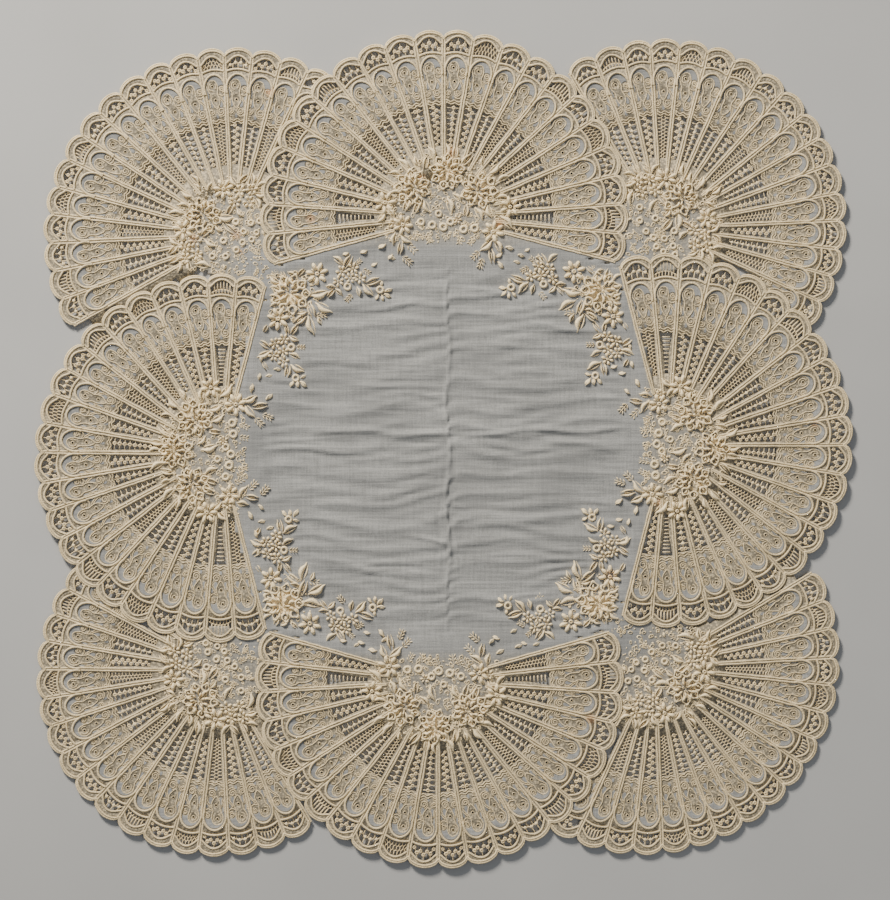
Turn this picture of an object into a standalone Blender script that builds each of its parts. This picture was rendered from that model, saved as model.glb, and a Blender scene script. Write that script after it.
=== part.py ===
"""Square whitework handkerchief lying flat, as one solid.

One square of fine batiste. Four fans of openwork stand at the middles of the sides and lie over
four more at the corners, and their scallops make the edge. Ribs, arches and scalloped borders
stand above the openwork and the bare cloth, flowers stand above the ribs, and low ridges mark
the ironed folds and ripples of the plain centre. The underside is flat.
"""

import math
from dataclasses import dataclass

import bmesh
import bpy
from mathutils import Matrix, Vector

# Every length below is in millimetres, and this turns it into metres.
MM = 0.001

# Heights above the surface that the cloth lies on.
SHEER_TOP = 0.8
CLOTH_TOP = 1.0
CORNER_FAN_TOP = 1.5
SIDE_FAN_TOP = 1.9
FLOWER_ROOT = 0.65
ROOT_STEP = 0.04
RIDGE_SINK = 0.15

# Each plate starts lower than the one before it, and one cut then levels the underside.
FIRST_START = -0.5
START_STEP = -0.13
CUT_DEPTH = 6.0
CUT_HALF_SIDE = 300.0
# How far above the ribs the openwork's cutter starts.
CUT_CLEARANCE = 1.0

# One fan, measured out from its hub. CROWN_LEVEL is the cosine at which a crown is level.
TIP_RADIUS = 104.3
SCALLOP_DEPTH = 3.9
SCALLOP_FULLNESS = 0.6
SCALLOP_STEPS = 3
CROWN_LEVEL = 0.75
BORDER_WIDTH = 5.6
CRESCENT_INNER = 91.4
CRESCENT_TOP_SHARE = 0.6
ARCH_RADIUS = 86.0
ARCH_FLAT_SHARE = 0.34
SHOULDER_RADIUS = 77.0
WINDOW_INNER = 38.0
WINDOW_INNER_WIDTH = 2.4
RIB_WIDTH = 3.8
# How many blades further the rim runs on at each end, under its neighbour.
RIM_TUCK = 0.7

# The plain square under the fans reaches to about their hubs.
GROUND_HALF_SIDE = 122.0

# The inner edge of a fan that is over its neighbours: across the hub, and in from it.
INNER_EDGE = ((32.0, 11.0), (12.0, 12.0), (-12.0, 12.0), (-32.0, 11.0))

# The round foot of a fan that is under its neighbours.
FOOT_RADIUS = 24.0
FOOT_START = 112.5
FOOT_STEPS = 4

# Faces that meet at less than this angle, in radians, are one flat face.
FLAT_ANGLE = 0.001

# A flower: its top's share of its radius, and how far in the notches between petals come.
FLOWER_FLARE = 0.45
PETAL_NOTCH = 0.66
PLAIN_SIDES = 6
CREASE_SIDES = 6
CREASE_RINGS = 4


@dataclass(frozen=True)
class Fan:
    """One fan: where its hub is, where its first blade points, and how its blades follow.

    A fan that is over its neighbours ends inward in two long edges that meet at its hub.
    One that is under them ends in a round foot behind its hub. No fan is a true round:
    reach is how much further its rim stands out, crown how much more its middle does than
    its ends, and lean how much more its left end does, seen from the hub, than its right.
    """

    name: str
    x: float
    y: float
    outward: float
    first: float
    pitch: float
    blades: int
    over: bool
    reach: float = 0.0
    crown: float = 0.0
    lean: float = 0.0

    def place(self, across, out):
        """The point that lies this far across the fan and this far out from its hub."""
        turn = math.radians(self.outward)
        return (
            self.x + out * math.cos(turn) + across * math.sin(turn),
            self.y + out * math.sin(turn) - across * math.cos(turn),
        )

    def polar(self, radius, degrees):
        """The point at this radius from the hub, in this direction, on the fan's uneven round."""
        turn = math.radians(degrees)
        aside = turn - math.radians(self.outward)
        uneven = self.reach + self.crown * (math.cos(aside) - CROWN_LEVEL) + self.lean * math.sin(aside)
        radius += uneven * (radius / TIP_RADIUS) ** 2
        return (self.x + radius * math.cos(turn), self.y + radius * math.sin(turn))

    def blade_middle(self, index):
        return self.first - self.pitch * index


# Columns: name, x, y, outward, first, pitch, blades, over, reach, crown, lean.
SIDE_FANS = (
    Fan("top", 0.6, 130.5, 90.0, 190.3, 9.54, 22, True, 0.2, 1.6, 0.0),
    Fan("right", 125.4, 2.8, 0.0, 99.9, 9.51, 22, True, 0.0, -0.8, 2.6),
    Fan("bottom", -2.8, -129.4, 270.0, 371.0, 9.62, 22, True, 0.3, 1.6, 0.8),
    Fan("left", -124.3, -2.0, 180.0, 279.2, 9.48, 22, True, 0.0, 1.2, 2.6),
)
CORNER_FANS = (
    Fan("top_right", 122.1, 124.3, 45.0, 116.0, 9.1, 17, False, 0.9, 3.7, 1.6),
    Fan("bottom_right", 118.7, -121.5, 315.0, 386.0, 9.1, 17, False, -0.3, -7.4, -1.2),
    Fan("bottom_left", -124.9, -123.2, 225.0, 296.0, 9.3, 17, False, -0.5, 4.2, 1.3),
    Fan("top_left", -117.6, 120.4, 135.0, 205.0, 9.0, 17, False, 1.3, -0.6, 0.8),
)

# Flowers of one hub, or of one spray. Columns: across, out, radius, petals, top.
SIDE_FLOWERS = (
    (-17.6, 16.6, 9.2, 6, 3.0),
    (2.0, 25.4, 9.2, 6, 2.9),
    (20.2, 14.8, 9.2, 6, 3.0),
    (-31.5, 8.6, 5.2, 0, 2.7),
    (36.0, 6.2, 5.2, 0, 2.7),
    (-23.4, -5.2, 4.6, 0, 2.6),
    (25.6, -5.4, 4.6, 0, 2.6),
)
CORNER_FLOWERS = (
    (-2.6, 22.8, 9.4, 6, 3.0),
    (13.8, 23.6, 6.2, 5, 2.8),
    (-18.4, 19.6, 6.2, 5, 2.8),
    (21.6, 14.2, 4.0, 0, 2.5),
    (-22.2, 8.0, 4.0, 0, 2.5),
)
SPRAY_FLOWERS = (
    (0.0, 0.0, 10.0, 6, 3.0),
    (14.8, 1.0, 6.4, 5, 2.8),
    (-17.4, -2.0, 6.4, 5, 2.8),
    (25.0, -11.0, 5.6, 0, 2.4),
    (-26.0, -12.4, 5.6, 0, 2.4),
    (34.0, -26.0, 4.2, 0, 2.2),
    (-34.0, -26.0, 4.2, 0, 2.2),
)

# Where each spray's large flower is, and the direction in which the spray points outward.
SPRAYS = (
    (-80.6, 88.0, 135.0),
    (79.0, 88.0, 45.0),
    (-82.0, -88.0, 225.0),
    (79.0, -86.0, 315.0),
)

# Folds and ripples of the centre: middle x and y, length, width, height above the cloth, turn.
CREASES = (
    (1.2, 6.0, 200.0, 3.2, 0.7, 90.0),
    (-52.0, 6.6, 96.0, 3.6, 0.9, -1.2),
    (56.0, 5.2, 96.0, 3.6, 0.9, 1.0),
    (-50.0, -1.6, 90.0, 3.0, 0.6, 1.6),
    (54.0, -3.4, 88.0, 3.0, 0.6, -1.4),
    (-34.0, 66.0, 62.0, 3.2, 0.5, 2.0),
    (38.0, 61.0, 64.0, 3.2, 0.5, -2.4),
    (-30.0, 43.0, 56.0, 3.0, 0.4, 1.0),
    (36.0, 34.0, 60.0, 3.0, 0.4, -1.4),
    (-34.0, -32.0, 60.0, 3.2, 0.5, -2.0),
    (34.0, -38.0, 58.0, 3.0, 0.4, 2.4),
    (-32.0, -58.0, 56.0, 3.2, 0.5, 1.6),
    (38.0, -64.0, 54.0, 3.2, 0.5, -1.2),
)


def clear_scene():
    """Remove whatever the scene holds."""
    for old in list(bpy.data.objects):
        bpy.data.objects.remove(old, do_unlink=True)


def make_collection(name):
    """A new collection in the scene."""
    made = bpy.data.collections.new(name)
    bpy.context.scene.collection.children.link(made)
    return made


def cream_cotton():
    """Fine cotton worked all over in cream thread."""
    made = bpy.data.materials.new("cream_cotton")
    made.use_nodes = True
    surface = made.node_tree.nodes["Principled BSDF"]
    surface.inputs["Base Color"].default_value = (0.66, 0.58, 0.42, 1.0)
    surface.inputs["Roughness"].default_value = 0.85
    surface.inputs["Metallic"].default_value = 0.0
    return made


def object_from(bm, name, collection):
    """An object made from a bmesh, which is freed."""
    mesh = bpy.data.meshes.new(name)
    bm.to_mesh(mesh)
    bm.free()
    made = bpy.data.objects.new(name, mesh)
    collection.objects.link(made)
    return made


def plate(name, outlines, bottom, top, collection):
    """Flat outlines drawn out between two heights, as one welded mesh."""
    curve = bpy.data.curves.new(name, "CURVE")
    curve.dimensions = "2D"
    curve.fill_mode = "BOTH"
    curve.extrude = 0.5 * (top - bottom) * MM
    for outline in outlines:
        spline = curve.splines.new("POLY")
        spline.points.add(len(outline) - 1)
        for point, (x, y) in zip(spline.points, outline):
            point.co = (x * MM, y * MM, 0.0, 1.0)
        spline.use_cyclic_u = True
    drawn = bpy.data.objects.new(name + "_outline", curve)
    drawn.location.z = 0.5 * (top + bottom) * MM
    collection.objects.link(drawn)
    bpy.context.view_layer.update()
    graph = bpy.context.evaluated_depsgraph_get()
    mesh = bpy.data.meshes.new_from_object(drawn.evaluated_get(graph))
    bm = bmesh.new()
    bm.from_mesh(mesh)
    bmesh.ops.remove_doubles(bm, verts=bm.verts, dist=0.001 * MM)
    bmesh.ops.transform(bm, matrix=drawn.matrix_world, verts=bm.verts)
    bmesh.ops.dissolve_limit(bm, angle_limit=FLAT_ANGLE, verts=bm.verts, edges=bm.edges)
    bmesh.ops.recalc_face_normals(bm, faces=bm.faces)
    bpy.data.meshes.remove(mesh)
    bpy.data.objects.remove(drawn, do_unlink=True)
    return object_from(bm, name, collection)


def scalloped_rim(fan):
    """The fan's outer edge, one round scallop a blade and a plain tuck past each end."""
    cusp = TIP_RADIUS - SCALLOP_DEPTH
    points = [fan.polar(cusp, fan.blade_middle(-0.5 - RIM_TUCK))]
    steps = SCALLOP_STEPS * fan.blades
    for step in range(steps + 1):
        share = step / SCALLOP_STEPS
        angle = fan.blade_middle(share - 0.5)
        rise = math.sin(math.pi * (share % 1.0)) ** SCALLOP_FULLNESS if step % SCALLOP_STEPS else 0.0
        points.append(fan.polar(cusp + SCALLOP_DEPTH * rise, angle))
    points.append(fan.polar(cusp, fan.blade_middle(fan.blades - 0.5 + RIM_TUCK)))
    return points


def fan_outline(fan):
    """The fan's whole outline: its scalloped rim and its inner edge past the hub."""
    points = scalloped_rim(fan)
    if fan.over:
        points += [fan.place(across, -out) for across, out in INNER_EDGE]
    else:
        for step in range(FOOT_STEPS + 1):
            turn = FOOT_START + (360.0 - 2.0 * FOOT_START) * step / FOOT_STEPS
            points.append(fan.polar(FOOT_RADIUS, fan.outward - turn))
    return points


def window(fan, index):
    """The sunk outline of one blade, from its narrow inner end to its arched head."""
    middle = fan.blade_middle(index)

    def corner(radius, half_width):
        return fan.polar(radius, middle + math.degrees(half_width / radius))

    shoulder = 0.5 * (math.radians(fan.pitch) * SHOULDER_RADIUS - RIB_WIDTH)
    sides = (
        (WINDOW_INNER, 0.5 * WINDOW_INNER_WIDTH),
        (SHOULDER_RADIUS, shoulder),
        (ARCH_RADIUS, shoulder * ARCH_FLAT_SHARE),
    )
    right = [corner(radius, -half) for radius, half in sides]
    left = [corner(radius, half) for radius, half in reversed(sides)]
    return right + left


def crescent(fan, index):
    """The sunk outline of the openwork between one blade's arch and its scallop."""
    middle = fan.blade_middle(index)
    half = 0.5 * fan.pitch - math.degrees(0.5 * RIB_WIDTH / CRESCENT_INNER)
    outer = TIP_RADIUS - BORDER_WIDTH
    return [
        fan.polar(CRESCENT_INNER, middle - half),
        fan.polar(outer, middle - CRESCENT_TOP_SHARE * half),
        fan.polar(outer, middle + CRESCENT_TOP_SHARE * half),
        fan.polar(CRESCENT_INNER, middle + half),
    ]


def openwork(name, fans, collection):
    """The cutter for every window and crescent of these fans."""
    outlines = []
    for fan in fans:
        for index in range(fan.blades):
            outlines.append(window(fan, index))
            outlines.append(crescent(fan, index))
    return plate(name, outlines, SHEER_TOP, SIDE_FAN_TOP + CUT_CLEARANCE, collection)


def combine(target, other, operation, crosses_itself=False):
    """Join another mesh to the target, or cut it from the target, and apply the result."""
    boolean = target.modifiers.new(operation.lower(), "BOOLEAN")
    boolean.operation = operation
    boolean.solver = "EXACT"
    boolean.use_self = crosses_itself
    boolean.object = other
    graph = bpy.context.evaluated_depsgraph_get()
    mesh = bpy.data.meshes.new_from_object(target.evaluated_get(graph))
    target.modifiers.remove(boolean)
    spent = target.data
    target.data = mesh
    bpy.data.meshes.remove(spent)
    bpy.data.objects.remove(other, do_unlink=True)


def add_flower(bm, x, y, radius, petals, top, bottom):
    """One low flower that flares out to its petals, with its root inside the cloth."""
    made = bmesh.ops.create_cone(
        bm,
        cap_ends=True,
        segments=2 * petals or PLAIN_SIDES,
        radius1=radius * MM,
        radius2=radius * FLOWER_FLARE * MM,
        depth=(top - bottom) * MM,
        matrix=Matrix.Translation(Vector((x, y, 0.5 * (top + bottom))) * MM),
    )
    if not petals:
        return
    centre = Vector((x, y)) * MM
    notch_angle = math.pi / petals
    for vert in made["verts"]:
        reach = vert.co.xy - centre
        turn = math.atan2(reach.y, reach.x) / notch_angle
        at_root = vert.co.z < 0.5 * (top + bottom) * MM
        if at_root and round(turn) % 2:
            vert.co.xy = centre + reach * PETAL_NOTCH


def flowers(name, collection):
    """Every raised flower of the hubs and the sprays."""
    bm = bmesh.new()
    groups = [(fan, SIDE_FLOWERS) for fan in SIDE_FANS]
    groups += [(fan, CORNER_FLOWERS) for fan in CORNER_FANS]
    groups += [(Fan("spray", x, y, turn, 0.0, 0.0, 0, False), SPRAY_FLOWERS) for x, y, turn in SPRAYS]
    for fan, rows in groups:
        for row, (across, out, radius, petals, top) in enumerate(rows):
            x, y = fan.place(across, out)
            add_flower(bm, x, y, radius, petals, top, FLOWER_ROOT - ROOT_STEP * row)
    return object_from(bm, name, collection)


def crease(name, x, y, length, width, height, turn, collection):
    """One long low ridge, pointed at both ends and half sunk in the cloth."""
    bm = bmesh.new()
    bmesh.ops.create_uvsphere(bm, u_segments=CREASE_SIDES, v_segments=CREASE_RINGS, radius=1.0)
    along_x = Matrix.Rotation(0.5 * math.pi, 4, "Y")
    size = Vector((0.5 * length, 0.5 * width, height + RIDGE_SINK)) * MM
    shape = Matrix.Diagonal(size.to_4d()) @ along_x
    place = Matrix.Translation(Vector((x, y, CLOTH_TOP - RIDGE_SINK)) * MM)
    turned = Matrix.Rotation(math.radians(turn), 4, "Z")
    shape.col[3] = (0.0, 0.0, 0.0, 1.0)
    bmesh.ops.transform(bm, matrix=place @ turned @ shape, verts=bm.verts)
    bmesh.ops.recalc_face_normals(bm, faces=bm.faces)
    return object_from(bm, name, collection)


def square(half):
    """The corners of a square round the origin."""
    return [(-half, -half), (half, -half), (half, half), (-half, half)]


def level_underside(cloth, collection):
    """Cut away all that reaches below the surface that the cloth lies on."""
    below = plate("below", [square(CUT_HALF_SIDE)], -CUT_DEPTH, 0.0, collection)
    combine(cloth, below, "DIFFERENCE")


def centre_on_origin(made):
    """Put the bottom middle of the box round the cloth on the origin."""
    points = [vert.co for vert in made.data.vertices]
    low = Vector([min(point[axis] for point in points) for axis in range(3)])
    high = Vector([max(point[axis] for point in points) for axis in range(3)])
    middle = 0.5 * (low + high)
    made.data.transform(Matrix.Translation((-middle.x, -middle.y, -low.z)))


def make_handkerchief(parts, tools):
    """The whole cloth: fans on the square, openwork sunk in them, folds and flowers raised."""
    cloth = plate("handkerchief", [square(GROUND_HALF_SIDE)], FIRST_START, CLOTH_TOP, parts)
    for row, (x, y, length, width, height, turn) in enumerate(CREASES):
        ridge = crease(f"crease_{row}", x, y, length, width, height, turn, tools)
        combine(cloth, ridge, "UNION")
    start = FIRST_START
    for fans, top in ((CORNER_FANS, CORNER_FAN_TOP), (SIDE_FANS, SIDE_FAN_TOP)):
        for fan in fans:
            start += START_STEP
            combine(cloth, plate(fan.name, [fan_outline(fan)], start, top, tools), "UNION")
        combine(cloth, openwork("openwork", fans, tools), "DIFFERENCE")
    level_underside(cloth, tools)
    combine(cloth, flowers("flowers", tools), "UNION", crosses_itself=True)
    centre_on_origin(cloth)
    cloth.data.materials.clear()
    cloth.data.materials.append(cream_cotton())
    return cloth


def main():
    clear_scene()
    parts = make_collection("whitework_handkerchief")
    tools = make_collection("cutters")
    make_handkerchief(parts, tools)


main()
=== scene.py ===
"""Square whitework handkerchief, laid flat: sheer batiste, openwork fans, padded flowers."""

import logging
import math
import random
from dataclasses import dataclass, field, replace
from enum import Enum
from typing import Callable, Iterable, Iterator, Sequence

import bpy
import numpy as np
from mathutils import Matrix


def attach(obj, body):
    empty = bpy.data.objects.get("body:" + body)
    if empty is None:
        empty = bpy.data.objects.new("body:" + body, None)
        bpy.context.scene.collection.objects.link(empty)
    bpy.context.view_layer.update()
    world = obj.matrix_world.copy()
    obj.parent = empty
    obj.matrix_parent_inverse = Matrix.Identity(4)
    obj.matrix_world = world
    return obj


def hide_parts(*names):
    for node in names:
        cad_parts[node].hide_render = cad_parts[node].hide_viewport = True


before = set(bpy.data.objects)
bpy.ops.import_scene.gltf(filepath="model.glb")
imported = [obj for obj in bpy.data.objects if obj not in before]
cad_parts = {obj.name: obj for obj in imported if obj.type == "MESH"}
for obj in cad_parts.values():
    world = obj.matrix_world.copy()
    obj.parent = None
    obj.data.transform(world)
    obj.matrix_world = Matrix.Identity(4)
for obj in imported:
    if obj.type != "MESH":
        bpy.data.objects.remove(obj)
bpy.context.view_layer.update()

LOG = logging.getLogger("handkerchief")

# Lengths in the tables below are in millimetres, and this turns them into metres.
MM = 0.001

# The photograph's size in pixels, and how much cloth one pixel shows.
PHOTO_SIZE = (890, 900)
MM_PER_PIXEL = 0.56
# The pixel that the tables call the middle of the cloth.
TABLE_CENTRE = (443.0, 450.0)

# One fan, measured out from its hub: its foot, its windows and its tips.
FOOT_RADIUS = 22.0
WINDOW_INNER = 38.8
WINDOW_OUTER = 61.8
TIP_RADIUS = 104.3
SCALLOP_DEPTH = 3.9
SCALLOP_FULLNESS = 0.6
SCALLOP_STEPS = 3
# Where a fan's crown leaves its round as it is, as the cosine of the way from its middle.
CROWN_LEVEL = 0.75
# How far the cloth goes past a fan's last ribs, in blades, for a side fan and a corner fan.
END_STRIP = 0.14
CORNER_END_STRIP = 1.6
# How far a rib may be off its even place, in degrees.
RIB_WOBBLE = 0.22

Point = tuple[float, float]
# Three numbers: a colour, a place or a size.
Triple = tuple[float, float, float]
Socket = bpy.types.NodeSocket
ORIGIN = (0.0, 0.0, 0.0)


def polar(x: float, y: float, away: float, angle: float) -> Point:
    """The point this far from another, in a direction in radians."""
    return x + away * math.cos(angle), y + away * math.sin(angle)


@dataclass
class Fan:
    """One fan: where its hub is, where its first blade points, and how its blades follow.

    Blades are counted clockwise. A place on the fan is a blade number, whose whole part is
    the rib on the blade's left, and a radius from the hub.
    """

    name: str
    x: float
    y: float
    outward: float
    first: float
    pitch: float
    blades: int
    over: bool
    reach: float = 0.0
    crown: float = 0.0
    lean: float = 0.0
    ribs: np.ndarray = field(init=False, repr=False)

    def __post_init__(self) -> None:
        """Lay out the ribs, each a little off its even place as handwork is."""
        draw = random.Random(self.name)
        self.ribs = np.array([
            self.first + self.pitch * (0.5 - k) + draw.uniform(-RIB_WOBBLE, RIB_WOBBLE)
            for k in range(self.blades + 1)
        ])

    @property
    def level(self) -> float:
        """Height of the fan's cloth above the table."""
        return 1.5 if self.over else 1.15

    @property
    def crown_line(self) -> float:
        """Radius of the openwork's outer edge at the middle of a blade."""
        return 100.1 if self.over else 99.0

    @property
    def arch_line(self) -> float:
        """Radius of the arch's upper edge at the middle of a blade."""
        return 92.2 if self.over else 92.8

    def place(self, across: float, out: float) -> Point:
        """The point this far across the fan and this far out from its hub.

        Args:
            across: Millimetres clockwise from the fan's middle line.
            out: Millimetres from the hub along it.
        Returns:
            Its x and y.
        """
        turn = math.radians(self.outward)
        return (
            self.x + out * math.cos(turn) + across * math.sin(turn),
            self.y + out * math.sin(turn) - across * math.cos(turn),
        )

    def bearing(self, blade: np.ndarray) -> np.ndarray:
        """Direction in degrees of each blade number.

        Args:
            blade: Blade numbers.
        Returns:
            Directions.
        """
        blade = np.asarray(blade, float)
        inside = np.interp(blade, np.arange(self.blades + 1), self.ribs)
        beyond = np.minimum(blade, 0.0) + np.maximum(blade - self.blades, 0.0)
        return inside - beyond * self.pitch

    def true_radius(self, radius: np.ndarray, degrees: np.ndarray) -> np.ndarray:
        """The real radius of a nominal one on the fan's uneven round.

        Args:
            radius: Nominal radii.
            degrees: Their directions.
        Returns:
            Real radii.
        """
        aside = np.radians(degrees - self.outward)
        uneven = self.reach + self.crown * (np.cos(aside) - CROWN_LEVEL) + self.lean * np.sin(aside)
        return radius + uneven * (np.asarray(radius, float) / TIP_RADIUS) ** 2

    def spots(self, blade: np.ndarray, radius: np.ndarray) -> np.ndarray:
        """Points at these blade numbers and radii.

        Args:
            blade: Blade numbers.
            radius: Nominal radii, one for each blade number or one for all.
        Returns:
            An array of x and y.
        """
        degrees = self.bearing(blade)
        real = self.true_radius(radius, degrees)
        turn = np.radians(degrees)
        return np.stack([self.x + real * np.cos(turn), self.y + real * np.sin(turn)], axis=-1)

    def number(self, index: int, across: np.ndarray, radius: np.ndarray) -> np.ndarray:
        """Blade numbers this far across from the middle of one blade, at these radii."""
        width = math.radians(self.pitch) * np.asarray(radius, float)
        return index + 0.5 + np.asarray(across, float) / width

    def on_blade(self, index: int, across: np.ndarray, radius: np.ndarray) -> np.ndarray:
        """Points this far across from the middle of one blade, at these radii."""
        return self.spots(self.number(index, across, radius), radius)

    def rim(self, blade: np.ndarray) -> np.ndarray:
        """Nominal radius of the scalloped edge at each blade number.

        Args:
            blade: Blade numbers.
        Returns:
            Radii.
        """
        blade = np.asarray(blade, float)
        inside = (blade > 0.0) & (blade < self.blades)
        rise = np.abs(np.sin(np.pi * (blade % 1.0))) ** SCALLOP_FULLNESS
        return TIP_RADIUS - SCALLOP_DEPTH + SCALLOP_DEPTH * np.where(inside, rise, 0.0)

    def locate(self, points: np.ndarray) -> tuple[np.ndarray, np.ndarray, np.ndarray]:
        """Blade number, real radius and direction of each point.

        Args:
            points: Points in millimetres.
        Returns:
            The three, each an array.
        """
        offset = np.asarray(points, float)[..., :2] - (self.x, self.y)
        real = np.hypot(offset[..., 0], offset[..., 1])
        degrees = np.degrees(np.arctan2(offset[..., 1], offset[..., 0]))
        turn = (self.ribs[0] - degrees) % 360.0
        total = self.ribs[0] - self.ribs[-1]
        turn = np.where(turn > 0.5 * (total + 360.0), turn - 360.0, turn)
        blade = np.interp(turn, self.ribs[0] - self.ribs, np.arange(self.blades + 1))
        beyond = np.minimum(turn, 0.0) + np.maximum(turn - total, 0.0)
        return blade + beyond / self.pitch, real, degrees

    def covers(self, points: np.ndarray, inset: float, inner: float = 0.0) -> np.ndarray:
        """Whether each point lies on the fan, this far inside its edge and outside a radius.

        Args:
            points: Points in millimetres.
            inset: How far inside the scalloped edge.
            inner: How far from the hub at least.
        Returns:
            True or false for each point.
        """
        blade, real, degrees = self.locate(points)
        edge = self.true_radius(self.rim(blade), degrees) - inset
        span = (blade > -END_STRIP) & (blade < self.blades + END_STRIP)
        return span & (real < edge) & (real > inner)


# Columns: name, x, y, outward, first, pitch, blades, over, reach, crown, lean.
SIDE_FANS = (
    Fan("top", 0.6, 130.5, 90.0, 190.3, 9.54, 22, True, 0.2, 1.6, 0.0),
    Fan("right", 125.4, 2.8, 0.0, 99.9, 9.51, 22, True, 0.0, -0.8, 2.6),
    Fan("bottom", -2.8, -129.4, 270.0, 371.0, 9.62, 22, True, 0.3, 1.6, 0.8),
    Fan("left", -124.3, -2.0, 180.0, 279.2, 9.48, 22, True, 0.0, 1.2, 2.6),
)
CORNER_FANS = (
    Fan("top_right", 122.1, 124.3, 45.0, 116.0, 9.1, 17, False, 0.9, 3.7, 1.6),
    Fan("bottom_right", 118.7, -121.5, 315.0, 386.0, 9.1, 17, False, -0.3, -7.4, -1.2),
    Fan("bottom_left", -124.9, -123.2, 225.0, 296.0, 9.3, 17, False, -0.5, 4.2, 1.3),
    Fan("top_left", -117.6, 120.4, 135.0, 205.0, 9.0, 17, False, 1.3, -0.6, 0.8),
)

# Where each spray's large flower is, and which way its right and its top point.
SPRAYS = (
    (-85.3, 87.1, 1.0, 1.0),
    (88.2, 88.5, -1.0, 1.0),
    (-89.4, -85.6, 1.0, -1.0),
    (86.4, -84.6, -1.0, -1.0),
)
# Millimetres to one step of the table of a spray's figures.
SPRAY_STEP = 0.518


class Filling(Enum):
    """How a window or a crescent of openwork is filled, and its letter in the runs below."""

    BARS = "B"
    RINGS = "R"
    RING_ROW = "W"
    TRIANGLES = "T"
    DIAMONDS = "D"
    NET = "N"


def fillings(letters: str) -> tuple[Filling, ...]:
    """The fillings of a run of blades, one letter a blade."""
    return tuple(Filling(letter) for letter in letters)


SIDE_WINDOWS = fillings("NBRRTTNTTDRWRTNTNTRDBR")
CORNER_WINDOWS = fillings("TTRNRTTDNDTWNRTNT")
CRESCENT_RUN = fillings("TBTRNRBTRRRRNTRBTNTRBR")


class Motif(Enum):
    """A worked figure of the hubs and the sprays, and the name of the method that works it."""

    CHRYSANTHEMUM = "chrysanthemum"
    PETALS = "petals"
    DAISY = "daisy"
    RING = "ring"
    LEAF = "leaf"
    SEEDED_LEAF = "seeded_leaf"
    BUD = "bud"
    SPRIG = "sprig"


# Figures of a side fan's hub: a motif, then across, out, size and turn of each figure.
SIDE_HUB = (
    (Motif.CHRYSANTHEMUM, (-17.8, 15.9, 9.8, 20.0), (19.9, 14.8, 9.8, 200.0),
     (1.9, 25.1, 9.4, 90.0)),
    (Motif.PETALS, (-33.0, 7.8, 6.3, 10.0), (-23.1, -4.5, 5.8, 0.0), (27.4, -8.4, 6.4, 30.0),
     (37.0, 5.6, 5.8, 0.0)),
    (Motif.DAISY, (-28.4, -3.6, 3.0, 0.0)),
    (Motif.RING, (-12.9, -2.8, 2.4, 0.0), (-6.6, -4.6, 2.6, 0.0), (-0.4, -5.7, 2.6, 0.0),
     (3.6, -2.8, 2.4, 0.0), (-3.1, 1.8, 2.2, 0.0), (10.9, -7.0, 2.6, 0.0), (17.1, -6.4, 2.6, 0.0)),
    (Motif.DAISY, (7.4, -1.5, 2.6, 0.0)),
    (Motif.LEAF, (-6.8, 35.8, 7.6, 120.0), (1.9, 37.2, 6.8, 97.0)),
    (Motif.SEEDED_LEAF, (6.4, 36.0, 7.0, 82.0), (12.9, 31.9, 7.6, 45.0)),
    (Motif.LEAF, (21.5, 31.0, 5.0, 90.0), (-22.4, 29.4, 7.8, 135.0), (-27.4, 24.1, 6.8, 170.0),
     (-27.4, 13.4, 6.0, 180.0), (-15.6, 31.0, 5.4, 108.0)),
    (Motif.SEEDED_LEAF, (-10.0, 30.4, 6.6, 78.0)),
    (Motif.LEAF, (28.2, 26.8, 7.4, 45.0), (33.0, 21.6, 6.6, 25.0), (32.8, 10.8, 7.0, 0.0)),
    (Motif.SEEDED_LEAF, (-21.2, 6.6, 6.8, 250.0), (-15.5, 5.2, 6.2, 250.0)),
    (Motif.LEAF, (-9.7, 5.6, 7.4, 295.0), (3.2, 6.4, 8.6, 285.0), (7.4, 10.8, 6.4, 315.0)),
    (Motif.SEEDED_LEAF, (12.2, 3.4, 6.0, 265.0)),
    (Motif.LEAF, (19.6, 1.7, 7.6, 300.0), (25.4, 3.0, 7.4, 290.0), (35.0, -3.0, 9.0, 315.0),
     (-35.0, -0.5, 6.6, 230.0), (-29.6, 2.2, 6.2, 310.0), (-28.0, -12.2, 6.2, 260.0),
     (-21.4, -12.4, 7.4, 325.0)),
    (Motif.SEEDED_LEAF, (-24.6, -17.4, 6.4, 260.0)),
    (Motif.LEAF, (23.6, -16.2, 8.0, 220.0), (30.4, -16.4, 7.4, 295.0)),
    (Motif.SEEDED_LEAF, (26.6, -22.0, 7.4, 280.0)),
    (Motif.SPRIG, (-15.0, -10.5, 7.0, 300.0), (-8.4, -12.4, 7.0, 280.0), (-11.6, -11.0, 5.0, 290.0),
     (0.6, -11.4, 5.4, 300.0), (8.8, -13.2, 6.4, 262.0), (15.2, -13.6, 6.4, 240.0),
     (-17.6, -18.0, 7.4, 315.0), (-20.4, -24.6, 7.4, 320.0), (17.4, -21.6, 7.0, 225.0),
     (20.6, -26.4, 7.0, 250.0)),
    (Motif.BUD, (-34.7, -16.5, 4.4, 200.0), (-45.0, -19.6, 3.8, 190.0), (-55.0, -20.7, 3.4, 190.0),
     (-30.0, -22.4, 3.6, 220.0), (36.6, -17.4, 4.4, 340.0), (31.6, -27.0, 4.4, 300.0),
     (43.0, -21.6, 3.6, 340.0), (53.0, -22.6, 3.4, 350.0)),
)

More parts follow.
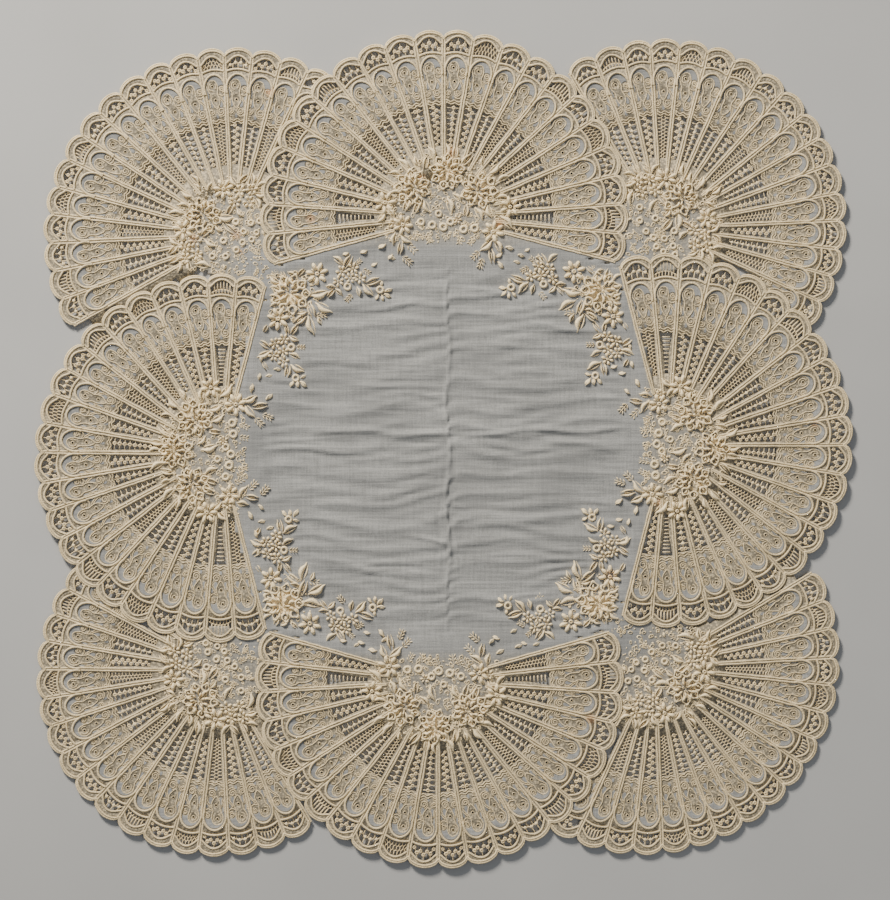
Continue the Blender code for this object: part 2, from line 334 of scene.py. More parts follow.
# Figures of the top left corner's hub: a motif, then right, up, size and turn of each.
CORNER_HUB = (
    (Motif.CHRYSANTHEMUM, (-16.5, 10.7, 9.6, 100.0)),
    (Motif.PETALS, (-5.3, 25.7, 5.9, 15.0), (-27.6, 2.6, 6.3, 15.0)),
    (Motif.DAISY, (3.9, 24.6, 3.6, 0.0), (10.6, 25.5, 3.6, 10.0), (1.1, 18.5, 3.6, 20.0),
     (9.0, 18.5, 3.7, 0.0), (-21.0, -3.4, 3.7, 0.0), (-26.9, -6.7, 3.5, 10.0),
     (-20.2, -10.9, 3.7, 20.0), (-26.5, -13.1, 3.5, 0.0)),
    (Motif.RING, (1.7, 7.3, 2.2, 0.0), (10.1, 6.7, 2.1, 0.0), (15.1, 7.8, 2.1, 0.0),
     (6.0, 1.9, 2.1, 0.0), (13.3, 1.3, 1.9, 0.0), (-5.3, -3.2, 2.2, 0.0), (5.4, -4.3, 2.1, 0.0),
     (10.5, -2.6, 2.0, 0.0), (2.0, -8.4, 2.1, 0.0), (-11.5, -12.0, 2.1, 0.0),
     (-4.1, -12.0, 2.1, 0.0)),
    (Motif.LEAF, (-25.8, 22.7, 6.6, 155.0), (-28.0, 16.5, 6.2, 175.0), (-32.3, 12.2, 7.0, 178.0),
     (-21.0, 31.0, 6.4, 130.0), (-19.9, 26.7, 4.8, 130.0), (-12.9, 27.2, 5.2, 60.0),
     (0.4, 29.9, 6.4, 125.0)),
    (Motif.SEEDED_LEAF, (6.3, 31.5, 6.0, 40.0)),
    (Motif.LEAF, (11.4, 31.5, 5.6, 95.0), (16.5, 28.1, 6.4, 15.0), (15.5, 22.4, 6.0, 355.0),
     (14.4, 17.6, 5.4, 290.0)),
    (Motif.SEEDED_LEAF, (-1.8, 14.0, 6.0, 60.0)),
    (Motif.LEAF, (4.0, 12.4, 5.6, 310.0), (-3.9, 9.6, 8.6, 0.0)),
    (Motif.SEEDED_LEAF, (-1.8, 3.4, 7.0, 320.0), (-15.1, 1.4, 6.6, 40.0)),
    (Motif.LEAF, (-8.1, 3.6, 5.0, 320.0), (-12.6, -4.6, 7.2, 330.0), (-33.2, -3.4, 6.4, 140.0)),
    (Motif.SEEDED_LEAF, (-33.4, -8.1, 6.2, 225.0), (-32.8, -13.8, 6.2, 210.0)),
    (Motif.LEAF, (-30.1, -18.0, 5.8, 260.0), (-24.4, -18.0, 5.8, 285.0),
     (-16.8, -16.9, 8.2, 350.0)),
    (Motif.SPRIG, (5.6, -12.6, 5.6, 300.0), (12.2, -8.0, 5.6, 320.0), (-8.0, -7.6, 5.0, 330.0),
     (2.4, -1.2, 5.0, 300.0), (-11.0, -16.4, 5.0, 340.0)),
    (Motif.BUD, (17.0, 1.0, 3.0, 300.0), (-5.0, -18.0, 3.0, 280.0)),
)

# Figures of the top left spray round its large flower: a motif, then the steps to the right,
# the steps up, the size and the turn of each.
SPRAY = (
    (Motif.CHRYSANTHEMUM, (0.0, 0.0, 10.8, 120.0)),
    (Motif.PETALS, (28.7, 22.2, 6.5, 15.0), (-13.5, -26.5, 6.4, 10.0)),
    (Motif.LEAF, (-17.6, 15.6, 6.5, 143.0)),
    (Motif.SEEDED_LEAF, (-7.5, 20.0, 5.4, 110.0)),
    (Motif.LEAF, (1.0, 22.4, 4.6, 155.0)),
    (Motif.SEEDED_LEAF, (11.5, 24.0, 4.6, 45.0)),
    (Motif.LEAF, (-17.8, 7.0, 5.4, 175.0), (-18.0, -2.2, 5.2, 165.0), (-17.4, -11.2, 5.4, 200.0),
     (31.0, 0.4, 9.6, 12.0), (36.0, -14.4, 9.6, 330.0)),
    (Motif.SEEDED_LEAF, (21.8, -16.6, 8.0, 290.0)),
    (Motif.LEAF, (22.0, -33.6, 9.6, 288.0)),
    (Motif.SEEDED_LEAF, (10.0, -27.0, 7.6, 218.0)),
    (Motif.LEAF, (12.6, -20.0, 5.0, 10.0), (31.4, -28.4, 4.6, 295.0)),
    (Motif.SPRIG, (34.0, -22.4, 7.0, 10.0)),
    (Motif.LEAF, (43.4, 8.4, 5.2, 355.0)),
    (Motif.SEEDED_LEAF, (43.6, 1.4, 5.0, 230.0)),
    (Motif.LEAF, (52.0, 2.6, 5.0, 315.0), (51.4, 37.0, 6.8, 322.0)),
    (Motif.SEEDED_LEAF, (62.0, 35.4, 7.4, 58.0)),
    (Motif.SPRIG, (73.4, 35.0, 5.4, 40.0), (82.4, 24.4, 5.8, 330.0)),
    (Motif.DAISY, (55.0, 24.8, 3.4, 0.0), (67.2, 28.0, 3.4, 12.0), (51.6, 14.2, 3.3, 24.0),
     (64.4, 17.6, 3.3, 0.0), (75.2, 17.6, 3.5, 20.0)),
    (Motif.RING, (61.6, 8.4, 2.4, 0.0)),
    (Motif.SEEDED_LEAF, (89.2, 14.0, 7.6, 20.0)),
    (Motif.LEAF, (83.4, 4.8, 7.6, 312.0), (73.4, 3.0, 5.2, 285.0)),
    (Motif.RING, (96.6, 5.0, 2.4, 0.0)),
    (Motif.BUD, (93.4, -3.0, 3.2, 235.0), (99.2, -3.8, 3.4, 275.0), (104.6, -1.4, 4.2, 325.0),
     (105.6, 4.4, 4.2, 10.0), (98.4, 11.2, 3.2, 80.0)),
    (Motif.SPRIG, (62.6, -4.2, 6.0, 230.0)),
    (Motif.BUD, (90.4, 32.2, 3.6, 200.0), (79.0, 45.6, 3.4, 340.0), (109.4, 39.6, 4.0, 330.0)),
    (Motif.SEEDED_LEAF, (-4.0, -38.2, 4.8, 100.0), (4.2, -38.0, 5.6, 55.0)),
    (Motif.LEAF, (3.4, -47.8, 5.2, 335.0)),
    (Motif.DAISY, (-7.2, -48.2, 3.4, 0.0), (-17.2, -53.2, 3.4, 14.0), (-8.0, -61.6, 3.4, 25.0),
     (-18.4, -66.0, 3.3, 0.0), (-7.6, -72.6, 3.5, 18.0)),
    (Motif.RING, (0.8, -57.2, 2.4, 0.0)),
    (Motif.SPRIG, (11.4, -57.0, 5.6, 0.0)),
    (Motif.LEAF, (4.6, -66.4, 6.2, 335.0)),
    (Motif.SEEDED_LEAF, (-28.6, -54.0, 6.2, 325.0)),
    (Motif.LEAF, (-29.0, -65.0, 7.6, 203.0)),
    (Motif.SEEDED_LEAF, (-27.6, -77.0, 4.4, 120.0)),
    (Motif.BUD, (-14.4, -81.0, 3.8, 350.0)),
    (Motif.LEAF, (7.0, -79.6, 7.8, 332.0)),
    (Motif.SEEDED_LEAF, (-3.4, -83.2, 6.8, 258.0)),
    (Motif.RING, (5.6, -90.4, 2.3, 0.0)),
    (Motif.BUD, (1.4, -96.4, 4.0, 235.0), (7.4, -96.6, 4.0, 272.0), (13.6, -96.8, 4.6, 312.0),
     (13.6, -89.0, 3.2, 20.0), (-23.4, -88.0, 3.8, 0.0)),
    (Motif.SEEDED_LEAF, (-27.0, -37.0, 4.4, 60.0)),
)

# Folds and ripples of the centre: middle x and y, length, width, height, turn.
CREASES = (
    (2.4, 6.0, 250.0, 1.7, 0.75, 90.0),
    (-3.4, -38.0, 46.0, 3.0, -0.5, 90.0),
    (5.2, -34.0, 66.0, 2.6, -0.5, 90.0),
    (-16.0, 8.6, 46.0, 2.6, 1.2, -3.0),
    (62.6, 10.4, 122.0, 2.6, 1.3, 1.5),
    (-69.0, -0.6, 70.0, 2.4, 0.9, -1.0),
    (-42.0, -4.6, 36.0, 2.2, 0.7, 0.0),
    (-52.0, 9.6, 92.0, 2.6, 0.6, 0.5),
    (72.0, 4.0, 42.0, 2.4, 1.1, -8.0),
    (40.0, -2.0, 70.0, 3.0, 0.6, -1.0),
    (-8.0, -51.5, 30.0, 2.2, 1.2, -14.0),
    (38.0, -40.5, 48.0, 4.4, 0.9, 7.0),
    (7.4, -30.5, 14.0, 2.2, 0.9, -8.0),
    (-29.0, 80.2, 38.0, 2.4, 0.9, 6.0),
    (63.0, 68.6, 30.0, 2.2, 0.8, -6.0),
    (24.0, 88.0, 30.0, 3.0, 0.9, -4.0),
    (-51.5, -65.6, 36.0, 2.4, 0.9, -14.0),
    (-19.0, -89.0, 30.0, 3.0, 0.8, 12.0),
    (41.0, -82.6, 34.0, 2.0, 0.8, 1.0),
    (30.0, 41.0, 34.0, 2.4, 0.7, -28.0),
    (-44.0, 36.0, 66.0, 2.8, 0.5, 2.0),
    (-56.0, -30.0, 60.0, 3.0, 0.5, 1.0),
    (38.0, 58.0, 60.0, 3.0, 0.5, -2.0),
    (52.0, 28.0, 60.0, 3.0, 0.5, 2.0),
    (50.0, -60.0, 56.0, 3.0, 0.5, -2.0),
)


def figures(table: Iterable) -> Iterator[tuple]:
    """Each figure of a table in turn: its motif, then its own columns.

    Args:
        table: Rows of a motif and its figures.
    Returns:
        Tuples, one for each figure.
    """
    for motif, *rows in table:
        for row in rows:
            yield motif, *row


def outline_middle(fans: Iterable[Fan]) -> Point:
    """The middle of the box round the fans' scalloped edges.

    Args:
        fans: The fans, placed as in the tables.
    Returns:
        Its x and y in millimetres.
    """
    edges = []
    for fan in fans:
        blade = np.arange(SCALLOP_STEPS * fan.blades + 1) / SCALLOP_STEPS
        degrees = fan.first + fan.pitch * (0.5 - blade)
        real = fan.true_radius(fan.rim(blade), degrees)
        turn = np.radians(degrees)
        edges.append(np.stack([fan.x + real * np.cos(turn), fan.y + real * np.sin(turn)], axis=-1))
    points = np.concatenate(edges)
    middle = 0.5 * (points.min(axis=0) + points.max(axis=0))
    return float(middle[0]), float(middle[1])


def settle(points: np.ndarray) -> np.ndarray:
    """Lift of the cloth where it doesn't lie quite flat.

    Args:
        points: Points in millimetres.
    Returns:
        Lifts in millimetres.
    """
    x, y = points[..., 0], points[..., 1]
    wave = 0.22 * np.sin(x / 23.0 + 0.8) * np.sin(y / 31.0 + 0.4)
    wave = wave + 0.14 * np.sin(x / 11.0 - y / 17.0)
    edge = np.clip((np.maximum(np.abs(x), np.abs(y)) - 190.0) / 45.0, 0.0, 1.0) ** 2
    return wave + 0.36 + edge * (0.35 + 0.35 * np.sin((x - y) / 33.0))


def clear_selection() -> None:
    """Leave edit mode and deselect every object."""
    if bpy.context.object is not None and bpy.context.object.mode != "OBJECT":
        bpy.ops.object.mode_set(mode="OBJECT")
    bpy.ops.object.select_all(action="DESELECT")


def pick(piece: bpy.types.Object) -> None:
    """Select one object alone and make it the active one.

    Args:
        piece: The object.
    """
    clear_selection()
    piece.select_set(True)
    bpy.context.view_layer.objects.active = piece


def work(piece: bpy.types.Object, test: Callable, operator: Callable, **settings: object) -> None:
    """Run one edit-mode operator on the vertices that pass a test.

    Args:
        piece: The mesh object to shape.
        test: Says of a vertex's place whether it is taken.
        operator: The operator of bpy.ops to run.
        settings: The operator's settings.
    """
    pick(piece)
    bpy.ops.object.mode_set(mode="EDIT")
    bpy.ops.mesh.select_mode(type="VERT")
    bpy.ops.mesh.select_all(action="DESELECT")
    bpy.ops.object.mode_set(mode="OBJECT")
    for vertex in piece.data.vertices:
        vertex.select = bool(test(vertex.co))
    bpy.ops.object.mode_set(mode="EDIT")
    operator(**settings)
    bpy.ops.object.mode_set(mode="OBJECT")


def resize(piece: bpy.types.Object, test: Callable, value: Triple, middle: Triple = ORIGIN) -> None:
    """Scale the vertices that pass a test, about a point."""
    work(piece, test, bpy.ops.transform.resize, value=value, center_override=middle)


def lie_along_x(piece: bpy.types.Object) -> None:
    """Lay an upright form down along X."""
    work(piece, lambda co: True, bpy.ops.transform.rotate,
         value=math.pi / 2, orient_axis="Y", center_override=ORIGIN)


def flatten_below(piece: bpy.types.Object) -> None:
    """Press a form's lower half flat, as the cloth under it is."""
    resize(piece, lambda co: co.z < 0.01, (1.0, 1.0, 0.02))


def mesh_object(name: str, points: np.ndarray, corners: np.ndarray, sizes: np.ndarray,
                plan: np.ndarray | None = None) -> bpy.types.Object:
    """A mesh object from joined arrays.

    Args:
        name: The object's name.
        points: Vertices in millimetres.
        corners: Vertex numbers of the faces, one face after another.
        sizes: How many corners each face has.
        plan: Where the faces' corners lie on a blade, across it and out from its hub.
    Returns:
        The new object, shaded smooth.
    """
    mesh = bpy.data.meshes.new(name)
    lifted = points.copy()
    lifted[:, 2] += settle(points)
    mesh.vertices.add(len(lifted))
    mesh.vertices.foreach_set("co", (lifted * MM).astype(np.float32).ravel())
    mesh.loops.add(len(corners))
    mesh.loops.foreach_set("vertex_index", corners.astype(np.int32))
    mesh.polygons.add(len(sizes))
    starts = np.concatenate([[0], np.cumsum(sizes)[:-1]])
    mesh.polygons.foreach_set("loop_start", starts.astype(np.int32))
    mesh.update(calc_edges=True)
    if plan is not None:
        mesh.uv_layers.new(name="blade_plan")
        mesh.uv_layers[0].uv.foreach_set("vector", plan.astype(np.float32).ravel())
    mesh.validate()
    mesh.polygons.foreach_set("use_smooth", np.ones(len(sizes), bool))
    piece = bpy.data.objects.new(name, mesh)
    bpy.context.scene.collection.objects.link(piece)
    return piece


@dataclass
class Shape:
    """A small form modelled once, kept as arrays so that it can be copied many times."""

    points: np.ndarray
    corners: np.ndarray
    sizes: np.ndarray

    @classmethod
    def taken_from(cls, piece: bpy.types.Object) -> "Shape":
        """Read a modelled object and remove it.

        Args:
            piece: The object.
        Returns:
            Its shape.
        """
        mesh = piece.data
        points = np.zeros(3 * len(mesh.vertices), np.float32)
        mesh.vertices.foreach_get("co", points)
        corners = np.zeros(len(mesh.loops), np.int32)
        mesh.loops.foreach_get("vertex_index", corners)
        sizes = np.zeros(len(mesh.polygons), np.int32)
        mesh.polygons.foreach_get("loop_total", sizes)
        bpy.data.objects.remove(piece, do_unlink=True)
        bpy.data.meshes.remove(mesh)
        return cls(points.reshape(-1, 3).astype(float), corners, sizes)


class Forms:
    """The small forms of the embroidery, each modelled once at unit size and copied.

    Every form is one unit long or wide, lies on the ground plane and points along X.
    """

    def __init__(self) -> None:
        """Model every form."""
        self.petal = self.padded_drop()
        self.leaf = self.curved_leaf()
        self.loop = self.petal_loop()
        self.ring = self.eyelet(12, 6, 0.7, 0.29)
        self.button = self.eyelet(8, 4, 0.6, 0.36)
        self.curl = self.eyelet(8, 3, 0.7, 0.2)
        self.diamond = self.web()
        self.knot = self.lump()
        self.bar = self.thread()
        self.dome = self.cushion()

    @staticmethod
    def padded_drop() -> Shape:
        """A padded satin petal: rounded at its tip, narrow at its foot, flat below."""
        clear_selection()
        bpy.ops.mesh.primitive_uv_sphere_add(segments=8, ring_count=6, radius=0.5)
        piece = bpy.context.object
        lie_along_x(piece)
        resize(piece, lambda co: co.x < -0.15, (1.1, 0.74, 0.85), (-0.15, 0.0, 0.0))
        flatten_below(piece)
        return Shape.taken_from(piece)

    @staticmethod
    def curved_leaf() -> Shape:
        """A padded leaf, pointed at both ends and curved to one side."""
        clear_selection()
        bpy.ops.mesh.primitive_uv_sphere_add(segments=8, ring_count=8, radius=0.5)
        piece = bpy.context.object
        lie_along_x(piece)
        resize(piece, lambda co: abs(co.x) > 0.3, (1.12, 0.55, 0.7))
        flatten_below(piece)
        for near, aside in ((0.3, 0.36), (0.12, 0.14)):
            work(piece, lambda co: abs(co.x) < near, bpy.ops.transform.translate,
                 value=(0.0, aside, 0.0))
        return Shape.taken_from(piece)

    @staticmethod
    def petal_loop() -> Shape:
        """A corded petal: a loop, pointed outward, that stands round a hollow."""
        clear_selection()
        bpy.ops.mesh.primitive_torus_add(
            major_segments=12, minor_segments=5, major_radius=0.38, minor_radius=0.115)
        piece = bpy.context.object
        resize(piece, lambda co: co.x > 0.2, (1.25, 0.55, 1.0), (0.2, 0.0, 0.0))
        resize(piece, lambda co: co.x < -0.3, (1.0, 0.7, 0.8), (-0.3, 0.0, 0.0))
        return Shape.taken_from(piece)

    @staticmethod
    def eyelet(around: int, across: int, radius: float, thick: float) -> Shape:
        """A buttonholed ring, a little flat, with an uneven rim.

        Args:
            around: How many steps go round it.
            across: How many go round its cord.
            radius: From its middle to the middle of its cord.
            thick: Half the thickness of its cord.
        Returns:
            The form.
        """
        clear_selection()
        bpy.ops.mesh.primitive_torus_add(
            major_segments=around, minor_segments=across,
            major_radius=radius, minor_radius=thick)
        piece = bpy.context.object
        resize(piece, lambda co: True, (1.0, 1.0, 0.8))
        resize(piece, lambda co: co.x > 0.35 * radius, (1.06, 0.96, 1.1))
        return Shape.taken_from(piece)

    @staticmethod
    def lump() -> Shape:
        """A small knot of thread."""
        clear_selection()
        bpy.ops.mesh.primitive_ico_sphere_add(subdivisions=1, radius=0.5)
        piece = bpy.context.object
        resize(piece, lambda co: co.z > 0.1, (0.8, 0.8, 0.8), (0.0, 0.0, 0.1))
        resize(piece, lambda co: co.z < -0.1, (1.0, 1.0, 0.4), (0.0, 0.0, -0.1))
        return Shape.taken_from(piece)

    @staticmethod
    def thread() -> Shape:
        """A wrapped bar of threads, thinner at its middle than at its ends."""
        clear_selection()
        bpy.ops.mesh.primitive_cylinder_add(
            vertices=4, radius=0.6, depth=1.0, end_fill_type="NGON")
        piece = bpy.context.object
        lie_along_x(piece)
        pick(piece)
        bpy.ops.object.mode_set(mode="EDIT")
        bpy.ops.mesh.select_all(action="SELECT")
        bpy.ops.mesh.bisect(plane_co=ORIGIN, plane_no=(1.0, 0.0, 0.0))
        bpy.ops.transform.resize(value=(1.0, 0.72, 0.8), center_override=ORIGIN)
        bpy.ops.object.mode_set(mode="OBJECT")
        return Shape.taken_from(piece)

    @staticmethod
    def web() -> Shape:
        """A little woven diamond, thicker at its middle."""
        clear_selection()
        bpy.ops.mesh.primitive_cylinder_add(vertices=4, radius=0.5, depth=0.5, end_fill_type="NGON")
        piece = bpy.context.object
        pick(piece)
        bpy.ops.object.mode_set(mode="EDIT")
        bpy.ops.mesh.select_all(action="SELECT")
        bpy.ops.mesh.bevel(offset=0.08, segments=1, affect="EDGES")
        bpy.ops.object.mode_set(mode="OBJECT")
        resize(piece, lambda co: co.z > 0.2, (0.9, 0.9, 1.2))
        return Shape.taken_from(piece)

    @staticmethod
    def cushion() -> Shape:
        """A low round of close stitches that a flower stands on."""
        clear_selection()
        bpy.ops.mesh.primitive_uv_sphere_add(segments=16, ring_count=8, radius=0.5)
        piece = bpy.context.object
        flatten_below(piece)
        resize(piece, lambda co: co.z > 0.3, (1.0, 1.0, 0.6), (0.0, 0.0, 0.3))
        return Shape.taken_from(piece)


@dataclass
class Stitches:
    """Copies of the small forms, gathered into one piece of embroidery."""

    name: str
    groups: dict = field(default_factory=dict)

    def add(self, shape: Shape, x: float, y: float, z: float, size: Sequence[float],
            turn: float = 0.0) -> None:
        """Place one copy.

        Args:
            shape: The form.
            x: Where its middle is, in millimetres.
            y: Where its middle is, in millimetres.
            z: Height of its foot.
            size: Its length, width and height in millimetres.
            turn: Its direction in degrees.
        """
        self.groups.setdefault(id(shape), (shape, []))[1].append((x, y, z, *size, turn))

    def build(self, material: bpy.types.Material) -> bpy.types.Object:
        """Join every copy into one mesh.

        Args:
            material: The finish.
        Returns:
            The new piece.
        """
        points, corners, sizes, count = [], [], [], 0
        for shape, rows in self.groups.values():
            table = np.array(rows, float)
            turn = np.radians(table[:, 6])[:, None]
            local = shape.points[None, :, :] * table[:, None, 3:6]
            x = local[..., 0] * np.cos(turn) - local[..., 1] * np.sin(turn) + table[:, None, 0]
            y = local[..., 0] * np.sin(turn) + local[..., 1] * np.cos(turn) + table[:, None, 1]
            z = local[..., 2] + table[:, None, 2]
            points.append(np.stack([x, y, z], axis=-1).reshape(-1, 3))
            step = np.arange(len(rows)) * len(shape.points) + count
            corners.append((shape.corners[None, :] + step[:, None]).ravel())
            sizes.append(np.tile(shape.sizes, len(rows)))
            count += len(rows) * len(shape.points)
        piece = mesh_object(self.name, *(np.concatenate(part) for part in (points, corners, sizes)))
        piece.data.materials.append(material)
        return piece


@dataclass
class Cords:
    """Corded lines, gathered into one piece."""

    name: str
    lines: list = field(default_factory=list)

    def add(self, points: np.ndarray, height: float, width: float, hidden: Callable,
            closed: bool = False) -> None:
        """Lay one cord, or the parts of it that aren't hidden.

        Args:
            points: Its line, x and y in millimetres.
            height: Height of its middle.
            width: How wide it is.
            hidden: Says of points whether they are covered.
            closed: Whether it is a loop.
        """
        covered = hidden(points)
        if not covered.any():
            self.lines.append((points, height, width, closed))
            return
        run = []
        for point, out_of_sight in zip((*points, None), (*covered, True)):
            if not out_of_sight:
                run.append(point)
                continue
            if len(run) > 1:
                self.lines.append((np.array(run), height, width, False))
            run = []

    def build(self, section: bpy.types.Object, material: bpy.types.Material) -> bpy.types.Object:
        """Draw every cord with one cross-section and make it a mesh.

        Args:
            section: The cross-section.
            material: The finish.
        Returns:
            The new piece.
        """
        curve = bpy.data.curves.new(self.name, "CURVE")
        curve.dimensions = "3D"
        curve.twist_mode = "Z_UP"
        curve.bevel_mode = "OBJECT"
        curve.bevel_object = section
        curve.use_fill_caps = True
        for points, height, width, closed in self.lines:
            spline = curve.splines.new("POLY")
            spline.points.add(len(points) - 1)
            place = np.zeros((len(points), 4))
            place[:, :2] = points * MM
            place[:, 2] = (height + settle(points)) * MM
            place[:, 3] = 1.0
            spline.points.foreach_set("co", place.ravel())
            spline.points.foreach_set("radius", np.full(len(points), 0.5 * width))
            spline.use_cyclic_u = closed
        piece = bpy.data.objects.new(self.name, curve)
        bpy.context.scene.collection.objects.link(piece)
        pick(piece)
        bpy.ops.object.convert(target="MESH")
        piece = bpy.context.object
        piece.data.polygons.foreach_set("use_smooth", np.ones(len(piece.data.polygons), bool))
        piece.data.materials.clear()
        piece.data.materials.append(material)
        return piece


def cord_section() -> bpy.types.Object:
    """The cross-section of a cord one millimetre in half-width, a little flat."""
    clear_selection()
    bpy.ops.mesh.primitive_circle_add(vertices=6, radius=MM)
    piece = bpy.context.object
    piece.name = "cord_section"
    resize(piece, lambda co: True, (1.0, 0.8, 1.0))
    pick(piece)
    bpy.ops.object.convert(target="CURVE")
    return bpy.context.object


# Units of the cloth's plan to one millimetre of a blade.
PLAN_SCALE = 0.01
# Radius on the plan that marks ground which is partly worked with fine stitches.
WORKED_GROUND = 0.5


# Rust-brown marks of age: x, y and radius of each, their height above the table and their colour.
STAINS = (
    (-74.5, 129.0, 3.4), (-116.0, 120.0, 4.0), (-113.0, 111.0, 3.0), (208.0, 14.0, 2.6),
    (93.5, -70.0, 4.0), (82.0, -151.0, 3.6), (4.6, 166.0, 3.6), (31.0, 126.0, 4.0),
    (-12.0, 152.0, 2.6), (-140.0, 118.0, 3.0), (-97.0, 200.0, 3.6), (120.0, -30.0, 3.0),
)
STAIN_HEIGHT = 1.5
RUST = (0.60, 0.30, 0.12)


class Nodes:
    """A small helper that adds and links shader nodes."""

    def __init__(self, name: str) -> None:
        """Start a new material.

        Args:
            name: Its name.
        """
        self.material = bpy.data.materials.new(name)
        self.material.use_nodes = True
        self.tree = self.material.node_tree
        self.surface = self.tree.nodes["Principled BSDF"]
        self.place = self.add("ShaderNodeTexCoord").outputs["Object"]

    def add(self, kind: str, **settings: object) -> bpy.types.Node:
        """Add one node with these settings.

        Args:
            kind: The node's type.
            settings: Its own properties.
        Returns:
            The node.
        """
        node = self.tree.nodes.new(kind)
        for key, value in settings.items():
            setattr(node, key, value)
        return node

    def link(self, source: Socket, target: Socket) -> None:
        """Join an output to an input."""
        self.tree.links.new(source, target)

    def math(self, operation: str, first: Socket, second: Socket | float) -> Socket:
        """One sum on a value and another value or number.

        Args:
            operation: The sum's name.
            first: A value.
            second: A value, linked or fixed.
        Returns:
            The result.
        """
        node = self.add("ShaderNodeMath", operation=operation)
        self.link(first, node.inputs[0])
        if isinstance(second, Socket):
            self.link(second, node.inputs[1])
        else:
            node.inputs[1].default_value = second
        return node.outputs[0]

    @property
    def plan(self) -> Socket:
        """Place on a blade, across it and out from its hub."""
        return self.add("ShaderNodeUVMap", uv_map="blade_plan").outputs["UV"]

    @property
    def radius(self) -> Socket:
        """Distance from the hub; nothing in the middle of the cloth."""
        split = self.add("ShaderNodeSeparateXYZ")
        self.link(self.plan, split.inputs["Vector"])
        return split.outputs["Y"]

    def oval(self, across: float, out: float, half_width: float, half_length: float) -> Socket:
        """An oval of the blade's plan.

        Args:
            across: Its middle across the blade, in millimetres.
            out: Its middle out from the hub.
            half_width: Half its width.
            half_length: Half its length.
        Returns:
            1 inside it and 0 outside, with a soft edge.
        """
        near = self.add("ShaderNodeMapping", vector_type="POINT")
        near.inputs["Scale"].default_value = (
            1.0 / (half_width * PLAN_SCALE), 1.0 / (half_length * PLAN_SCALE), 0.0)
        near.inputs["Location"].default_value = (-across / half_width, -out / half_length, 0.0)
        self.link(self.plan, near.inputs["Vector"])
        length = self.add("ShaderNodeVectorMath", operation="LENGTH")
        self.link(near.outputs["Vector"], length.inputs[0])
        return self.ranged(length.outputs["Value"], 1.08, 0.92)

    def ranged(self, value: Socket, start: float, end: float, top: float = 1.0) -> Socket:
        """An amount that goes from 0 to its top as a value goes from start to end.

        Args:
            value: The value.
            start: Where the amount is 0.
            end: Where it is at its top.
            top: Its top.
        Returns:
            The amount.
        """
        node = self.add("ShaderNodeMapRange")
        node.inputs["From Min"].default_value = start
        node.inputs["From Max"].default_value = end
        node.inputs["To Max"].default_value = top
        self.link(value, node.inputs["Value"])
        return node.outputs["Result"]

    def half_strength(self, value: Socket) -> Socket:
        """A soft half-strength amount from a noise."""
        return self.ranged(value, 0.4, 0.75, 0.6)

    def stained(self, colour: Socket) -> Socket:
        """A colour with the brown marks of age on it.

        Args:
            colour: The clean colour.
        Returns:
            The marked colour.
        """
        ragged = self.noise(500.0, 2.0)
        for x, y, radius in STAINS:
            away = self.add("ShaderNodeVectorMath", operation="DISTANCE")
            self.link(self.place, away.inputs[0])
            away.inputs[1].default_value = (x * MM, y * MM, STAIN_HEIGHT * MM)
            fade = self.ranged(away.outputs["Value"], radius * MM, 0.3 * radius * MM, 0.9)
            colour = self.mix(self.math("MULTIPLY", fade, ragged), colour, RUST)
        return colour

    def noise(self, scale: float, detail: float, stretch: Triple = (1.0, 1.0, 1.0)) -> Socket:
        """A noise in object space, from 0 to 1.

        Args:
            scale: How fine it is.
            detail: How rough it is.
            stretch: What its place is multiplied by first.
        Returns:
            The noise.
        """
        mapping = self.add("ShaderNodeMapping")
        mapping.inputs["Scale"].default_value = stretch
        self.link(self.place, mapping.inputs["Vector"])
        noise = self.add("ShaderNodeTexNoise")
        noise.inputs["Scale"].default_value = scale
        noise.inputs["Detail"].default_value = detail
        self.link(mapping.outputs["Vector"], noise.inputs["Vector"])
        return noise.outputs["Fac"]

    def blend(self, amount: Socket, low: Triple, high: Triple, start: float = 0.35,
              end: float = 0.65) -> Socket:
        """A colour that goes from one to another with an amount.

        Args:
            amount: What it goes with.
            low: The colour up to the start.
            high: The colour from the end on.
            start: Where the change starts.
            end: Where it ends.
        Returns:
            The colour.
        """
        ramp = self.add("ShaderNodeValToRGB")
        ramp.color_ramp.elements[0].position = start
        ramp.color_ramp.elements[0].color = (*low, 1.0)
        ramp.color_ramp.elements[1].position = end
        ramp.color_ramp.elements[1].color = (*high, 1.0)
        self.link(amount, ramp.inputs["Fac"])
        return ramp.outputs["Color"]

    def mix(self, amount: Socket, first: Socket, second: Socket | Triple) -> Socket:
        """Two colours mixed by an amount.

        Args:
            amount: How much of the second there is.
            first: A colour.
            second: A colour, linked or fixed.
        Returns:
            The mixed colour.
        """
        mixer = self.add("ShaderNodeMix", data_type="RGBA")
        self.link(amount, mixer.inputs["Factor"])
        self.link(first, mixer.inputs["A"])
        if isinstance(second, Socket):
            self.link(second, mixer.inputs["B"])
        else:
            mixer.inputs["B"].default_value = (*second, 1.0)
        return mixer.outputs["Result"]

    def bump(self, height: Socket, strength: float, distance: float) -> None:
        """Give the surface this relief.

        Args:
            height: The relief.
            strength: How strongly it shows.
            distance: Its depth in metres.
        """
        bump = self.add("ShaderNodeBump")
        bump.inputs["Strength"].default_value = strength
        bump.inputs["Distance"].default_value = distance
        self.link(height, bump.inputs["Height"])
        self.link(bump.outputs["Normal"], self.surface.inputs["Normal"])


